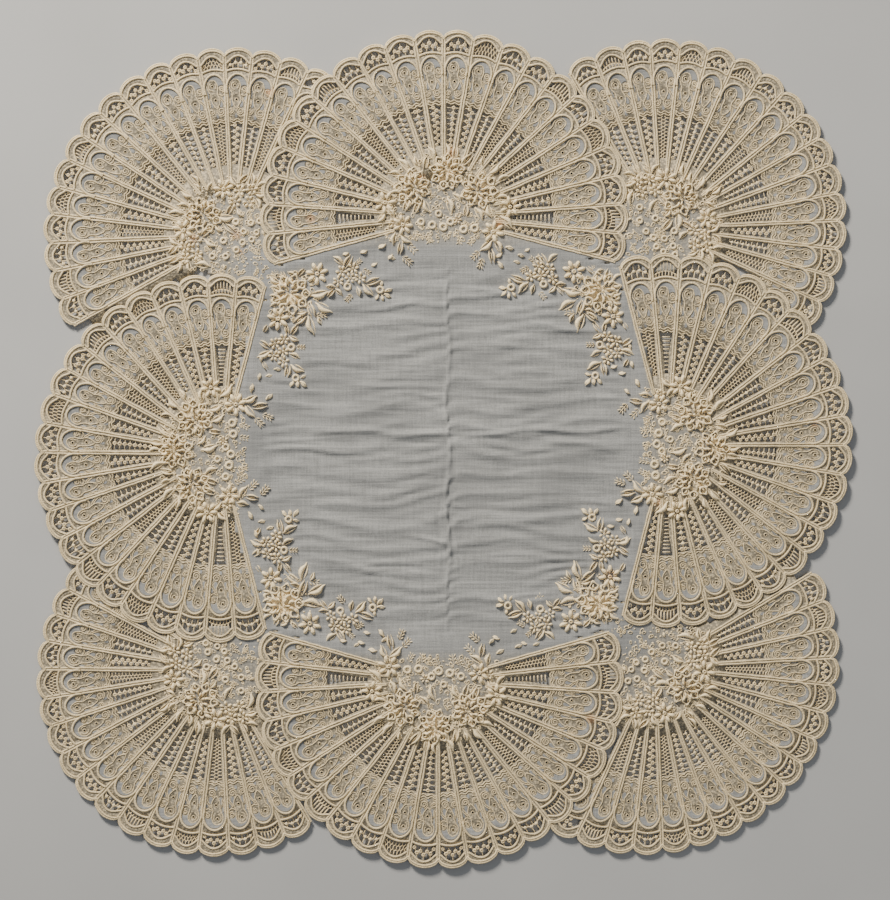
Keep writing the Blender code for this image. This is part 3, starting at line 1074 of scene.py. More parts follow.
@dataclass(frozen=True)
class ThreadFinish:
    """Cream embroidery thread: soft sheen, fine strands, and the brown marks of age."""

    name: str
    light: Triple
    dark: Triple
    roughness: float = 0.62
    strand: float = 1500.0
    relief: float = 0.8

    def material(self) -> bpy.types.Material:
        """The finish as a node material."""
        nodes = Nodes(self.name)
        colour = nodes.blend(nodes.noise(110.0, 5.0), self.dark, self.light, 0.32, 0.58)
        fine = nodes.noise(self.strand, 2.0)
        colour = nodes.mix(nodes.half_strength(fine), colour, tuple(0.86 * c for c in self.dark))
        colour = nodes.stained(colour)
        nodes.link(colour, nodes.surface.inputs["Base Color"])
        nodes.surface.inputs["Roughness"].default_value = self.roughness
        nodes.surface.inputs["Sheen Weight"].default_value = 0.15
        nodes.bump(fine, self.relief, 0.0005)
        return nodes.material


# Where a panel's cloth is left sheer, and what is worked over it: middle across the blade
# and out from the hub, then half-width and half-length, in millimetres.
SHEER_LUNETTE = (0.0, 82.9, 5.6, 5.8)
WORKED_OVER = ((-1.5, 82.6, 3.2, 3.9), (3.9, 81.0, 2.3, 2.5), (0.0, 75.0, 9.0, 4.6))
SHEER_GORES = (
    (-2.9, 73.6, 1.0, 2.3), (2.4, 73.2, 1.1, 2.1), (-4.6, 78.2, 0.7, 1.5), (4.7, 75.6, 0.8, 1.9),
    (-0.2, 66.4, 0.8, 1.3),
)


@dataclass(frozen=True)
class BatisteFinish:
    """The cloth: fine sheer batiste in the middle, seeded all over on the fans."""

    name: str
    sheer_light: Triple
    sheer_dark: Triple
    seed: Triple
    # The colour between the seed stitches, darker and browner than the bare cloth: painted shade in
    # the hollows between the stitches.
    ground: Triple
    cloudy: Triple

    def material(self) -> bpy.types.Material:
        """The finish as a node material."""
        nodes = Nodes(self.name)
        warp = nodes.noise(1100.0, 2.0, (1.0, 0.05, 1.0))
        weft = nodes.noise(760.0, 3.0, (0.05, 1.0, 1.0))
        grain = nodes.noise(1500.0, 3.0)
        threads = nodes.math("ADD", nodes.math("MULTIPLY", warp, 0.25),
                             nodes.math("MULTIPLY", weft, 0.45))
        weave = nodes.math("ADD", threads, nodes.math("MULTIPLY", grain, 0.3))
        sheer = nodes.blend(weave, self.sheer_dark, self.sheer_light, 0.4, 0.6)
        sheer = nodes.mix(nodes.half_strength(nodes.noise(22.0, 5.0)), sheer, self.cloudy)
        cells = nodes.add("ShaderNodeTexVoronoi")
        cells.inputs["Scale"].default_value = 760.0
        nodes.link(nodes.place, cells.inputs["Vector"])
        mottle = nodes.noise(520.0, 4.0)
        spread = nodes.math("ADD", nodes.math("MULTIPLY", cells.outputs["Distance"], 0.55),
                            nodes.math("MULTIPLY", mottle, 0.6))
        # Seed stitches over a darker colour between them, which is painted shade where the relief
        # below sinks.
        seeded = nodes.blend(spread, self.seed, self.ground, 0.4, 0.64)
        seeded = nodes.stained(seeded)
        bare = self.bare(nodes)
        nodes.link(nodes.mix(bare, seeded, sheer), nodes.surface.inputs["Base Color"])
        nodes.surface.inputs["Roughness"].default_value = 0.8
        relief = nodes.add("ShaderNodeMix", data_type="FLOAT")
        nodes.link(bare, relief.inputs["Factor"])
        nodes.link(nodes.math("MULTIPLY", spread, -1.0), relief.inputs["A"])
        nodes.link(nodes.math("MULTIPLY", weave, 0.7), relief.inputs["B"])
        nodes.bump(relief.outputs["Result"], 0.8, 0.0006)
        return nodes.material

    def bare(self, nodes: Nodes) -> Socket:
        """How bare of stitching the cloth is, from 0 to 1, by its place on a blade.

        Args:
            nodes: The material that is being made.
        Returns:
            The amount.
        """
        lunette = nodes.oval(*SHEER_LUNETTE)
        for form in WORKED_OVER:
            lunette = nodes.math("SUBTRACT", lunette, nodes.oval(*form))
        total = nodes.math("MAXIMUM", lunette, 0.0)
        for form in SHEER_GORES:
            total = nodes.math("MAXIMUM", total, nodes.oval(*form))
        centre = nodes.ranged(nodes.radius, WORKED_GROUND * PLAN_SCALE * 2.0, 0.0)
        return nodes.math("MAXIMUM", total, centre)


@dataclass(frozen=True)
class TableFinish:
    """A plain pale table top with a faint unevenness."""

    name: str
    tone: float

    def material(self) -> bpy.types.Material:
        """The finish as a node material."""
        nodes = Nodes(self.name)
        low = (0.97 * self.tone,) * 3
        high = (1.03 * self.tone,) * 3
        colour = nodes.blend(nodes.noise(9.0, 3.0), low, high)
        nodes.link(colour, nodes.surface.inputs["Base Color"])
        nodes.surface.inputs["Roughness"].default_value = 0.85
        return nodes.material


@dataclass(frozen=True)
class Finishes:
    """Every finish of the handkerchief, made once."""

    thread: bpy.types.Material
    cord: bpy.types.Material
    lace: bpy.types.Material
    batiste: bpy.types.Material
    table: bpy.types.Material

    @classmethod
    def make(cls) -> "Finishes":
        """Make the materials."""
        return cls(
            ThreadFinish("cream_thread", (0.98, 0.80, 0.49), (0.82, 0.66, 0.39)).material(),
            ThreadFinish("cord_thread", (0.8, 0.645, 0.39), (0.6, 0.48, 0.28)).material(),
            ThreadFinish("lace_thread", (0.9, 0.73, 0.44), (0.7, 0.56, 0.33), 0.7).material(),
            BatisteFinish("batiste", (0.345, 0.345, 0.338), (0.215, 0.216, 0.213),
                          # The seed stitches, then the painted shade between them.
                          (0.48, 0.4, 0.262), (0.2, 0.172, 0.125),
                          (0.185, 0.187, 0.186)).material(),
            TableFinish("pale_table", 0.41).material(),
        )


class Zone(Enum):
    """The bands of a fan, from its hub to its edge."""

    FOOT = 0
    WINDOW = 1
    PANEL = 2
    ARCH = 3
    CRESCENT = 4
    BORDER = 5


@dataclass
class Blade:
    """The lines that bound a blade's openings, for one blade of one fan."""

    fan: Fan
    index: int
    window_inner: float
    window_outer: float
    kind: Filling

    def half_gap(self, radius: np.ndarray, rib: float = 3.3) -> np.ndarray:
        """Half the clear width between two ribs, in millimetres."""
        return 0.5 * (math.radians(self.fan.pitch) * np.asarray(radius, float) - rib)

    def window_half(self, radius: np.ndarray) -> np.ndarray:
        """Half the width of the window at a radius.

        Args:
            radius: Radii from the hub.
        Returns:
            Half widths in millimetres.
        """
        narrow = 0.62 if self.kind is Filling.BARS else 1.0
        length = self.window_outer - self.window_inner
        share = (np.asarray(radius, float) - self.window_inner) / length
        return narrow * (1.5 + 1.6 * np.clip(share, 0.0, 1.0))


def arch_inner(across: np.ndarray) -> np.ndarray:
    """Radius of the arch's lower edge this far across a blade."""
    return 82.0 + 6.8 * np.sqrt(np.clip(1.0 - (np.asarray(across, float) / 5.7) ** 2, 0.0, 1.0))


def arch_outer(fan: Fan, share: np.ndarray) -> np.ndarray:
    """Radius of the arch's upper edge at a share of the blade's width from its middle."""
    return fan.arch_line - 6.0 * np.asarray(share, float) ** 2


def crescent_outer(fan: Fan, share: np.ndarray) -> np.ndarray:
    """Radius of the openwork's outer edge at a share of the blade's width from its middle."""
    return fan.crown_line - 26.0 * np.minimum(np.abs(np.asarray(share, float)), 0.405) ** 2


# The leaf form of a panel, round its two eyelets: across and radius.
LEAF_FORM = (
    (-1.2, 86.6), (-3.6, 85.6), (-4.6, 83.2), (-4.0, 80.8), (-3.0, 79.2), (-2.7, 77.4),
    (-2.7, 75.6), (-2.0, 73.2), (-0.3, 70.6), (1.6, 73.4), (2.1, 75.6), (1.6, 77.6),
    (1.2, 79.4), (1.6, 81.4), (1.5, 83.6), (0.6, 85.8),
)
EYELETS = ((-1.45, 83.2), (-0.4, 75.5))
EYELET_HALF = 0.6
# Scrolls of a panel: across and radius of the middle, outer radius, first direction, turns.
SCROLLS = (
    (3.9, 81.3, 1.9, 250.0, 1.7),
    (2.0, 69.2, 2.3, 120.0, 1.6),
    (-3.5, 69.2, 1.8, 60.0, -1.5),
    (-3.9, 64.9, 1.1, 200.0, 1.2),
)
# Loose curves of a panel, each a run of across and radius.
CURVES = (
    ((5.5, 80.6), (5.3, 78.9), (4.2, 77.9), (2.9, 77.9), (1.9, 78.5)),
    ((2.5, 77.0), (3.6, 75.8), (4.8, 74.0), (5.3, 71.8), (5.1, 69.2), (3.9, 66.9), (1.8, 66.2),
     (0.0, 67.4)),
    ((2.4, 75.9), (3.6, 74.2), (4.3, 72.4), (4.4, 71.0)),
    ((-4.9, 79.2), (-4.9, 76.6), (-4.2, 74.0), (-5.1, 71.6), (-5.4, 69.2), (-4.6, 67.0),
     (-2.6, 66.4)),
    ((-3.8, 75.8), (-3.6, 73.4), (-3.9, 71.8)),
    ((-1.6, 85.0), (-3.0, 84.4), (-3.4, 83.0), (-2.9, 81.4), (-1.6, 80.8)),
    ((0.2, 84.4), (0.6, 83.0), (0.2, 81.6)),
)


def smooth_line(points: Sequence[Point], steps: int = 3, closed: bool = False) -> np.ndarray:
    """A smooth line through points.

    Args:
        points: The points to pass through.
        steps: How many short steps lead from each point to the next.
        closed: Whether the line comes back to its start.
    Returns:
        The line's points.
    """
    row = np.asarray(points, float)
    count = len(row)
    ends = (row[-1:], row[:2]) if closed else (row[:1], row[-1:])
    padded = np.concatenate([ends[0], row, ends[1]])
    out = []
    for k in range(count if closed else count - 1):
        a, b, c, d = padded[k:k + 4]
        for step in range(steps):
            t = step / steps
            out.append(0.5 * (2 * b + (c - a) * t + (2 * a - 5 * b + 4 * c - d) * t ** 2
                              + (3 * b - a - 3 * c + d) * t ** 3))
    if not closed:
        out.append(row[-1])
    return np.array(out)


# How far inside an upper fan's edge the cords, the lace and the cloth below it stop.
CORD_INSET = 1.2
LACE_INSET = 0.8
CLOTH_INSET = 2.4
# How far past an opening's side its bars run, as a share of half its width.
PAST_SIDE = 1.04
# Half the length of an arch, as a share of its blade's width.
HALF_ARCH = 0.43
# How far the points of a cord stray from its line.
CURVE_WOBBLE = 0.12
# How far the cloth rises over its fan's level: on the ribs, in the panels and under the satin
# bands of the arch and the border; then in the last strip beside a fan's last rib.
RIB_RISE = 0.2
PANEL_RISE = -0.15
BAND_RISE = 0.3
END_RISE = 0.25
# The place across a blade that marks cloth off every blade, in the cloth's plan.
OFF_BLADE = 50.0
# How far out the strip beside a corner fan's last rib goes, since it is plain cloth.
CORNER_STRIP_REACH = 84.0
# The radius that stands for the arch's lower edge where a panel's cells are set out.
PANEL_TOP = 88.6


class Cord(Enum):
    """The cords of a fan: height above its cloth and width, in millimetres."""

    RIB = (0.18, 1.08)
    ARCH = (0.4, 1.3)
    HORSESHOE = (0.5, 1.3)
    EDGE = (0.2, 1.1)
    HEM = (0.3, 1.3)
    CROWN = (0.35, 1.2)


@dataclass
class FanWork:
    """All that is worked on one fan: its cloth, cords, panels and openwork."""

    fan: Fan
    forms: Forms
    over: tuple[Fan, ...]
    windows: tuple[Filling, ...]
    inner_columns: int = 6
    blades: list = field(init=False)

    def __post_init__(self) -> None:
        """Set out the blades with the unevenness of handwork."""
        draw = random.Random(self.fan.name + "_blades")
        self.blades = [
            Blade(self.fan, i, WINDOW_INNER + draw.uniform(-0.6, 0.9),
                  WINDOW_OUTER + draw.uniform(-1.0, 1.0), kind)
            for i, kind in enumerate(self.windows)
        ]

    def hidden(self, inset: float) -> Callable:
        """A test of which points lie under the fans above this one.

        Args:
            inset: How far inside an upper fan's edge a point has to be.
        Returns:
            The test, which takes points.
        """
        def test(points: np.ndarray) -> np.ndarray:
            """Whether each point is covered."""
            found = np.zeros(np.asarray(points).shape[:-1], bool)
            for fan in self.over:
                found |= fan.covers(points, inset)
            return found
        return test

    def is_rosette(self, index: int) -> bool:
        """Whether this blade is the small last scallop of a corner, which holds a rosette."""
        return not self.fan.over and index == self.fan.blades - 1

    def inner_lines(self, zone: Zone, gap: float, radius: float) -> tuple[np.ndarray, int]:
        """The cell lines between two ribs, drawn together round an eyelet in a panel.

        Args:
            zone: The band of the fan.
            gap: Half the clear width there.
            radius: Radius there.
        Returns:
            Distances across the blade, and the number of the cell that holds the eyelet.
        """
        if zone is not Zone.PANEL:
            return np.linspace(-gap, gap, self.inner_columns + 1), -1
        (high_x, high_r), (low_x, low_r) = EYELETS
        eye = high_x + (low_x - high_x) * (high_r - radius) / (high_r - low_r)
        left = self.inner_columns // 2 - 1
        lines = np.concatenate([
            np.linspace(-gap, eye - EYELET_HALF, left + 1),
            np.linspace(eye + EYELET_HALF, gap, self.inner_columns - left),
        ])
        return lines, left

    def panel_shares(self, blade: Blade) -> list[float]:
        """How far up its panel each row of cells starts; the rows at the eyelets are short.

        Args:
            blade: The blade.
        Returns:
            Shares of the panel's height.
        """
        shares = [0.0, 0.22, 0.4]
        for (x, radius), after in zip(reversed(EYELETS), (0.67, None)):
            height = float(arch_inner(np.array(x))) - blade.window_outer
            for side in (-EYELET_HALF, EYELET_HALF):
                shares.append((radius + side - blade.window_outer) / height)
            if after is not None:
                shares.append(after)
        return shares

    def rows(self) -> list[tuple[Zone, int, float]]:
        """The rows of cell lines from the hub out: band, number in the band, usual radius."""
        spans = {
            Zone.FOOT: (FOOT_RADIUS, WINDOW_INNER, 2),
            Zone.WINDOW: (WINDOW_INNER, WINDOW_OUTER, 2),
            Zone.PANEL: (WINDOW_OUTER, 88.0, 8),
            Zone.ARCH: (88.8, 92.2, 1),
            Zone.CRESCENT: (92.4, 99.8, 2),
            Zone.BORDER: (100.0, 104.0, 3),
        }
        return [
            (zone, k, start + (end - start) * k / count)
            for zone, (start, end, count) in spans.items() for k in range(count)
        ]

    def cloth(self) -> tuple[np.ndarray, np.ndarray, np.ndarray]:
        """The fan's cloth with its windows, crescents and eyelets open.

        Returns:
            Points, quads, and the place on its blade of each quad's corners.
        """
        fan = self.fan
        count, columns = fan.blades, self.inner_columns + 4
        wide = END_STRIP if fan.over else CORNER_END_STRIP
        strip = wide * np.array([1.0, 0.5])
        off_blade = np.full(2, OFF_BLADE)
        grid, heights, left_side, right_side, radii_all = [], [], [], [], []
        eye_cell = 0
        rows = self.rows()
        for zone, step, nominal in rows:
            numbers, radii, lift, left, right = [], [], [], [], []
            for blade in self.blades:
                climb = self.panel_shares(blade)[step] if zone is Zone.PANEL else 0.0
                if zone is Zone.PANEL:
                    nominal = blade.window_outer + climb * (PANEL_TOP - blade.window_outer)
                width = math.radians(fan.pitch) * nominal
                gap = float(blade.half_gap(nominal))
                if zone in (Zone.FOOT, Zone.WINDOW):
                    gap = min(float(blade.window_half(nominal)), 0.42 * width)
                inner, cell = self.inner_lines(zone, gap, nominal)
                eye_cell = max(eye_cell, cell)
                outer = 0.25 * width + 0.5 * gap
                across = np.concatenate([[-0.5 * width, -outer], inner, [outer]])
                local = across / width
                low_arch = arch_inner(across)
                high_arch = arch_outer(fan, local)
                rim = fan.rim(blade.index + 0.5 + local)
                start, end, share = {
                    Zone.FOOT: (FOOT_RADIUS, blade.window_inner, step / 2),
                    Zone.WINDOW: (blade.window_inner, blade.window_outer, step / 2),
                    Zone.PANEL: (blade.window_outer, low_arch, climb),
                    Zone.ARCH: (low_arch, high_arch, 0.0),
                    Zone.CRESCENT: (high_arch, crescent_outer(fan, local), step / 2),
                    Zone.BORDER: (crescent_outer(fan, local), rim, step / 2),
                }[zone]
                radius = start + (end - start) * share + np.zeros(columns)
                numbers.append(blade.index + 0.5 + local)
                radii.append(radius)
                left.append(across)
                right.append(np.append(across[1:], 0.5 * width))
                on_rib = np.abs(across) > gap + 0.05
                raised = {Zone.PANEL: PANEL_RISE, Zone.ARCH: BAND_RISE,
                          Zone.CRESCENT: BAND_RISE * (step == 0),
                          Zone.BORDER: BAND_RISE * (step < 2)}.get(zone, 0.0)
                lift.append(np.where(on_rib, np.maximum(RIB_RISE, raised), raised))
            radii_all.append(np.concatenate(
                [np.full(2, radii[0][0]), *radii, np.full(3, radii[-1][0])]))
            grid.append(fan.spots(
                np.concatenate([-strip, *numbers, [count], count + strip[::-1]]), radii_all[-1]))
            heights.append(np.concatenate([np.zeros(2), *lift, [END_RISE], np.zeros(2)]))
            left_side.append(np.concatenate([off_blade, *left, off_blade]))
            right_side.append(np.concatenate([off_blade, *right, off_blade]))
        grid, radii_all = np.stack(grid), np.stack(radii_all)
        left_side, right_side = np.stack(left_side), np.stack(right_side)
        height, width = grid.shape[:2]
        points = np.concatenate([grid, (np.stack(heights) + fan.level)[..., None]], axis=-1)
        numbers = np.arange(height * width).reshape(height, width)
        quads = np.stack([numbers[:-1, :-1], numbers[:-1, 1:], numbers[1:, 1:],
                          numbers[1:, :-1]], axis=-1)
        plan = np.stack([
            np.stack([left_side[:-1], radii_all[:-1, :-1]], axis=-1),
            np.stack([right_side[:-1], radii_all[:-1, 1:]], axis=-1),
            np.stack([right_side[1:], radii_all[1:, 1:]], axis=-1),
            np.stack([left_side[1:], radii_all[1:, :-1]], axis=-1),
        ], axis=2)
        zone_of = np.array([zone.value for zone, _, _ in rows])[:-1, None]
        step_of = np.array([step for _, step, _ in rows])[:-1, None]
        column = np.arange(width - 1)[None, :]
        local_column = (column - 2) % columns
        on_blade = (column >= 2) & (column < 2 + columns * count)
        opening = on_blade & (local_column >= 2) & (local_column < 2 + self.inner_columns)
        hole = opening & ((zone_of == Zone.WINDOW.value) | (zone_of == Zone.CRESCENT.value))
        eyelet_row = (zone_of == Zone.PANEL.value) & ((step_of == 3) | (step_of == 6))
        hole |= on_blade & eyelet_row & (local_column == 2 + eye_cell)
        if not fan.over:
            hole |= ~on_blade & (radii_all[:-1, :-1] > CORNER_STRIP_REACH)
        hole |= self.hidden(CLOTH_INSET)(0.5 * (grid[:-1, :-1] + grid[1:, 1:]))
        keep = ~hole
        return points.reshape(-1, 3), quads[keep], plan[keep]

    def lay(self, cords: Cords, kind: Cord, blade: np.ndarray, radius: np.ndarray) -> None:
        """Lay one of the fan's cords.

        Args:
            cords: Where it goes.
            kind: Which cord it is.
            blade: Blade numbers along it.
            radius: Radii along it.
        """
        lift, width = kind.value
        cords.add(self.fan.spots(blade, radius), self.fan.level + lift, width,
                  self.hidden(CORD_INSET))

    def ribs(self, cords: Cords) -> None:
        """Two cords side by side on every rib.

        Args:
            cords: Where they go.
        """
        draw = random.Random(self.fan.name + "_ribs")
        radii = np.linspace(29.0, 100.2, 30)
        width = math.radians(self.fan.pitch) * radii
        narrow = np.clip((radii - 10.0) / 30.0, 0.6, 1.0)
        for rib in range(self.fan.blades + 1):
            for side in (-1.0, 1.0):
                offset = side * (0.66 + draw.uniform(-0.06, 0.06))
                wobble = np.array([draw.uniform(-CURVE_WOBBLE, CURVE_WOBBLE) for _ in radii])
                self.lay(cords, Cord.RIB, rib + (offset * narrow + wobble) / width, radii)

    def arches(self, cords: Cords) -> None:
        """The arch over each panel: a flat outer cord and a horseshoe below it.

        Args:
            cords: Where they go.
        """
        for blade in self.blades:
            share = np.linspace(-HALF_ARCH, HALF_ARCH, 13)
            self.lay(cords, Cord.ARCH, blade.index + 0.5 + share, arch_outer(self.fan, share) - 0.6)
            turn = np.radians(np.linspace(-112.0, 112.0, 21))
            across, radius = 6.1 * np.sin(turn), 82.0 + 7.5 * np.cos(turn)
            self.lay(cords, Cord.HORSESHOE, self.fan.number(blade.index, across, radius), radius)

    def border(self, cords: Cords) -> None:
        """The scalloped edge: a broad flat cord outside and a finer one along the openwork.

        Args:
            cords: Where they go.
        """
        steps = 10
        number = np.arange(steps * self.fan.blades + 1) / steps
        free = self.fan.rim(number)
        self.lay(cords, Cord.EDGE, number, free - 0.55)
        self.lay(cords, Cord.HEM, number, free - 1.6)
        for blade in self.blades:
            share = np.linspace(-HALF_ARCH, HALF_ARCH, 11)
            self.lay(cords, Cord.CROWN, blade.index + 0.5 + share,
                     crescent_outer(self.fan, share) + 0.65)

    def panels(self, cords: Cords, stitches: Stitches) -> None:
        """The leaf form, scrolls, curves and waves under each arch.

        Args:
            cords: Where the fine cords go.
            stitches: Where the eyelets' rims go.
        """
        hidden = self.hidden(CORD_INSET)
        draw = random.Random(self.fan.name + "_panels")
        high = self.fan.level - 0.02
        for blade in self.blades:
            def lay(line: np.ndarray, width: float, closed: bool = False) -> None:
                """Lay one fine cord of this panel."""
                line = line + np.array([[draw.uniform(-CURVE_WOBBLE, CURVE_WOBBLE)
                                         for _ in range(2)] for _ in line])
                place = self.fan.on_blade(blade.index, line[:, 0], line[:, 1])
                cords.add(place, high, width, hidden, closed)

            lay(smooth_line(LEAF_FORM, 2, True), 0.62, True)
            for across, radius, size, start, turns in SCROLLS:
                size *= draw.uniform(0.85, 1.12)
                angle = np.radians(start + draw.uniform(-25.0, 25.0))
                angle = angle + np.linspace(0.0, 2 * math.pi * turns, 18)
                reach = size * np.linspace(1.0, 0.25, 18)
                lay(np.stack([across + reach * np.cos(angle), radius + reach * np.sin(angle)],
                             axis=-1), 0.55)
            for curve in CURVES:
                lay(smooth_line(curve, 2), 0.52)
            for low in (blade.window_outer + 0.9, blade.window_outer + 2.3):
                across = np.linspace(-4.6, 4.6, 15)
                phase = draw.uniform(0.0, 1.2)
                lay(np.stack([across, low + 0.5 * np.sin(across * 1.5 + phase)], axis=-1), 0.62)
            for across, radius in EYELETS:
                x, y = self.fan.on_blade(blade.index, across, radius)
                if not hidden(np.array([[x, y]]))[0]:
                    stitches.add(self.forms.curl, x, y, self.fan.level - 0.1, (1.15, 1.15, 1.5),
                                 draw.uniform(0.0, 360.0))

    def wrapped_bar(self, lace: Stitches, start: np.ndarray, end: np.ndarray, width: float,
                    lap: float) -> None:
        """Place one wrapped bar of thread, unless a fan hides it.

        Args:
            lace: Where it goes.
            start: The point where it starts.
            end: The point where it ends.
            width: How wide it is.
            lap: How much longer it is than the way between the two.
        """
        deep = self.fan.level + 0.05
        middle, span = 0.5 * (start + end), end - start
        if not self.hidden(LACE_INSET)(middle[None])[0]:
            lace.add(self.forms.bar, middle[0], middle[1], 0.5 * deep + 0.1,
                     (float(np.hypot(*span)) + lap, width, deep / 1.2),
                     math.degrees(math.atan2(span[1], span[0])))

    def lattice(self, lace: Stitches, kind: Filling, length: float, place: Callable, half: Callable,
                draw: random.Random) -> None:
        """Fill one opening with wrapped bars, webs and rings.

        Args:
            lace: Where the copies go.
            kind: The filling.
            length: Length of the opening.
            place: Turns a length along the opening and a share across it into a point.
            half: Half the opening's width at a length along it.
            draw: The source of small unevenness.
        """
        deep = self.fan.level + 0.05
        low = 0.5 * deep + 0.1
        hidden = self.hidden(LACE_INSET)

        def bar(start: Point, end: Point, width: float) -> None:
            """Place one wrapped bar between two places of the opening."""
            self.wrapped_bar(lace, place(*start), place(*end), width, 0.25)

        def ring(s: float, t: float, size: float) -> None:
            """Place one buttonholed ring, this wide in all."""
            x, y = place(s, t)
            if not hidden(np.array([[x, y]]))[0]:
                size *= 0.52 * draw.uniform(0.94, 1.08)
                lace.add(self.forms.button, x, y, low + 0.15, (size, size, deep / 0.62),
                         draw.uniform(0.0, 360.0))

        def web(s: float, t: float, long: float, wide: float) -> None:
            """Place one woven diamond, its points along and across the opening."""
            a, b = place(s - 0.5, t), place(s + 0.5, t)
            x, y = place(s, t)
            if not hidden(np.array([[x, y]]))[0]:
                turn = math.degrees(math.atan2(*(b - a)[::-1]))
                lace.add(self.forms.diamond, x, y, low + 0.1, (long, wide, deep / 0.6), turn)

        def ladder(step: float, reach: float, rung: float, rail: float) -> int:
            """Zigzag rails up the middle, with a rung from each turn to the nearer side."""
            count = max(4, round(length / step))
            for k in range(count + 1):
                s, t = k * length / count, reach if k % 2 else -reach
                bar((s, t), (s, PAST_SIDE if t > 0 else -PAST_SIDE), rung)
                if k < count:
                    bar((s, t), ((k + 1) * length / count, -t), rail)
            return count

        if kind is Filling.BARS:
            count = max(3, round(length / 2.2))
            for k in range(1, count):
                bar((k * length / count, -PAST_SIDE), (k * length / count, PAST_SIDE), 0.7)
        elif kind is Filling.NET:
            count = max(4, round(length / 1.9))
            step = length / count
            for k in range(count):
                for side in (-1.0, 1.0):
                    outer, inner = 0.46 * side, 0.2 * side
                    bar((k * step, inner), ((k + 0.5) * step, outer), 0.5)
                    bar(((k + 0.5) * step, outer), ((k + 1) * step, inner), 0.5)
                    bar(((k + 0.5) * step, outer), ((k + 0.5) * step, PAST_SIDE * side), 0.55)
                if k:
                    bar((k * step, -0.25), (k * step, 0.25), 0.6)
        elif kind is Filling.TRIANGLES:
            count = ladder(1.55, 0.16, 0.6, 0.7)
            for k in range(1, count, 2):
                wide = float(half(k * length / count))
                web(k * length / count, 0.0, 2.4, min(2.3, 1.05 * wide))
        elif kind is Filling.DIAMONDS:
            count = max(2, round(length / 3.3))
            step = length / count
            for k in range(count):
                s = (k + 0.5) * step
                wide = float(half(s))
                if k % 2:
                    web(s, 0.0, 2.8, min(2.7, 1.15 * wide))
                    bar((s, -PAST_SIDE), (s, PAST_SIDE), 0.5)
                else:
                    ring(s, 0.36, min(2.2, 0.9 * wide))
                    ring(s, -0.36, min(2.2, 0.9 * wide))
                    bar((s, 0.6), (s, PAST_SIDE), 0.55)
                    bar((s, -0.6), (s, -PAST_SIDE), 0.55)
                bar((s, 0.0), (s + step, 0.0), 0.5)
        elif kind is Filling.RING_ROW:
            count = max(3, round(length / 2.9))
            step = length / count
            for k in range(count):
                s = (k + 0.5) * step
                ring(s, 0.15, min(2.4, 1.2 * float(half(s)) + 0.4))
                bar((s, 0.3), (s, PAST_SIDE), 0.6)
                bar((s, 0.0), (s, -PAST_SIDE), 0.5)
                if k + 1 < count:
                    bar((s, 0.15), (s + step, 0.15), 0.55)
        else:
            count = max(5, round(length / 1.75))
            step = length / count
            for k in range(count):
                s = (k + 0.5) * step
                side = 1.0 if k % 2 else -1.0
                away = min(0.4, 0.85 / float(half(s)))
                ring(s, away * side, min(2.35, 0.85 * float(half(s)) + 0.6))
                bar((s, away * side), (s, PAST_SIDE * side), 0.55)
                if k + 1 < count:
                    bar((s, away * side), (s + step, -away * side), 0.5)

    def openwork(self, lace: Stitches) -> None:
        """Fill every window and crescent of the fan.

        Args:
            lace: Where the threads go.
        """
        fan = self.fan
        draw = random.Random(fan.name + "_openwork")
        for blade in self.blades:
            if self.is_rosette(blade.index):
                self.rosette(lace, blade)
                continue

            def in_window(s: float, t: float) -> np.ndarray:
                """A place of this window."""
                radius = blade.window_inner + s
                return fan.on_blade(blade.index, t * float(blade.window_half(radius)), radius)

            self.lattice(lace, blade.kind, blade.window_outer - blade.window_inner, in_window,
                         lambda s: blade.window_half(blade.window_inner + s), draw)
            wide = 0.8 * math.radians(fan.pitch) * 96.0

            def in_crescent(s: float, t: float) -> np.ndarray:
                """A place of this crescent."""
                share = (s / wide - 0.5) * 0.8
                low, high = float(arch_outer(fan, share)), float(crescent_outer(fan, share))
                radius = 0.5 * (low + high) + 0.5 * t * (high - low)
                return fan.spots(blade.index + 0.5 + share, radius)

            def crescent_half(s: float) -> float:
                """Half the height of this crescent."""
                share = (s / wide - 0.5) * 0.8
                return 0.5 * float(crescent_outer(fan, share) - arch_outer(fan, share))

            kind = CRESCENT_RUN[blade.index % len(CRESCENT_RUN)]
            if kind is Filling.BARS:
                self.crown(lace, in_crescent, wide)
            else:
                self.lattice(lace, kind, wide, in_crescent, crescent_half, draw)

    def crown(self, lace: Stitches, place: Callable, length: float) -> None:
        """A crescent of tall bars over short ones, with a corded line between.

        Args:
            lace: Where the bars go.
            place: Turns a length along the crescent and a share across it into a point.
            length: The crescent's length.
        """
        count, line = 7, -0.35
        spans = [((k / count, line), ((k + 1) / count, line), 0.7) for k in range(count)]
        spans += [((k / count, line), (k / count, PAST_SIDE), 0.75) for k in range(1, count)]
        spans += [(((k + 0.5) / count, line), ((k + 0.5) / count, -PAST_SIDE), 0.6)
                  for k in range(count)]
        for start, end, width in spans:
            self.wrapped_bar(lace, place(start[0] * length, start[1]),
                             place(end[0] * length, end[1]), width, 0.3)

    def rosette(self, lace: Stitches, blade: Blade) -> None:
        """The wheel of rings in a corner's last small scallop.

        Args:
            lace: Where the rings go.
            blade: The last blade.
        """
        hub = self.fan.on_blade(blade.index, 0.5, 95.6)
        high = self.fan.level + 0.2
        lace.add(self.forms.button, *hub, high, (1.5, 1.5, 1.2))
        for k in range(5):
            turn = math.radians(72.0 * k + self.fan.outward)
            lace.add(self.forms.button, *polar(*hub, 2.7, turn), high, (1.1, 1.1, 1.0))
            lace.add(self.forms.bar, *polar(*hub, 4.3, turn), high - 0.5, (2.4, 0.8, 1.2),
                     math.degrees(turn))


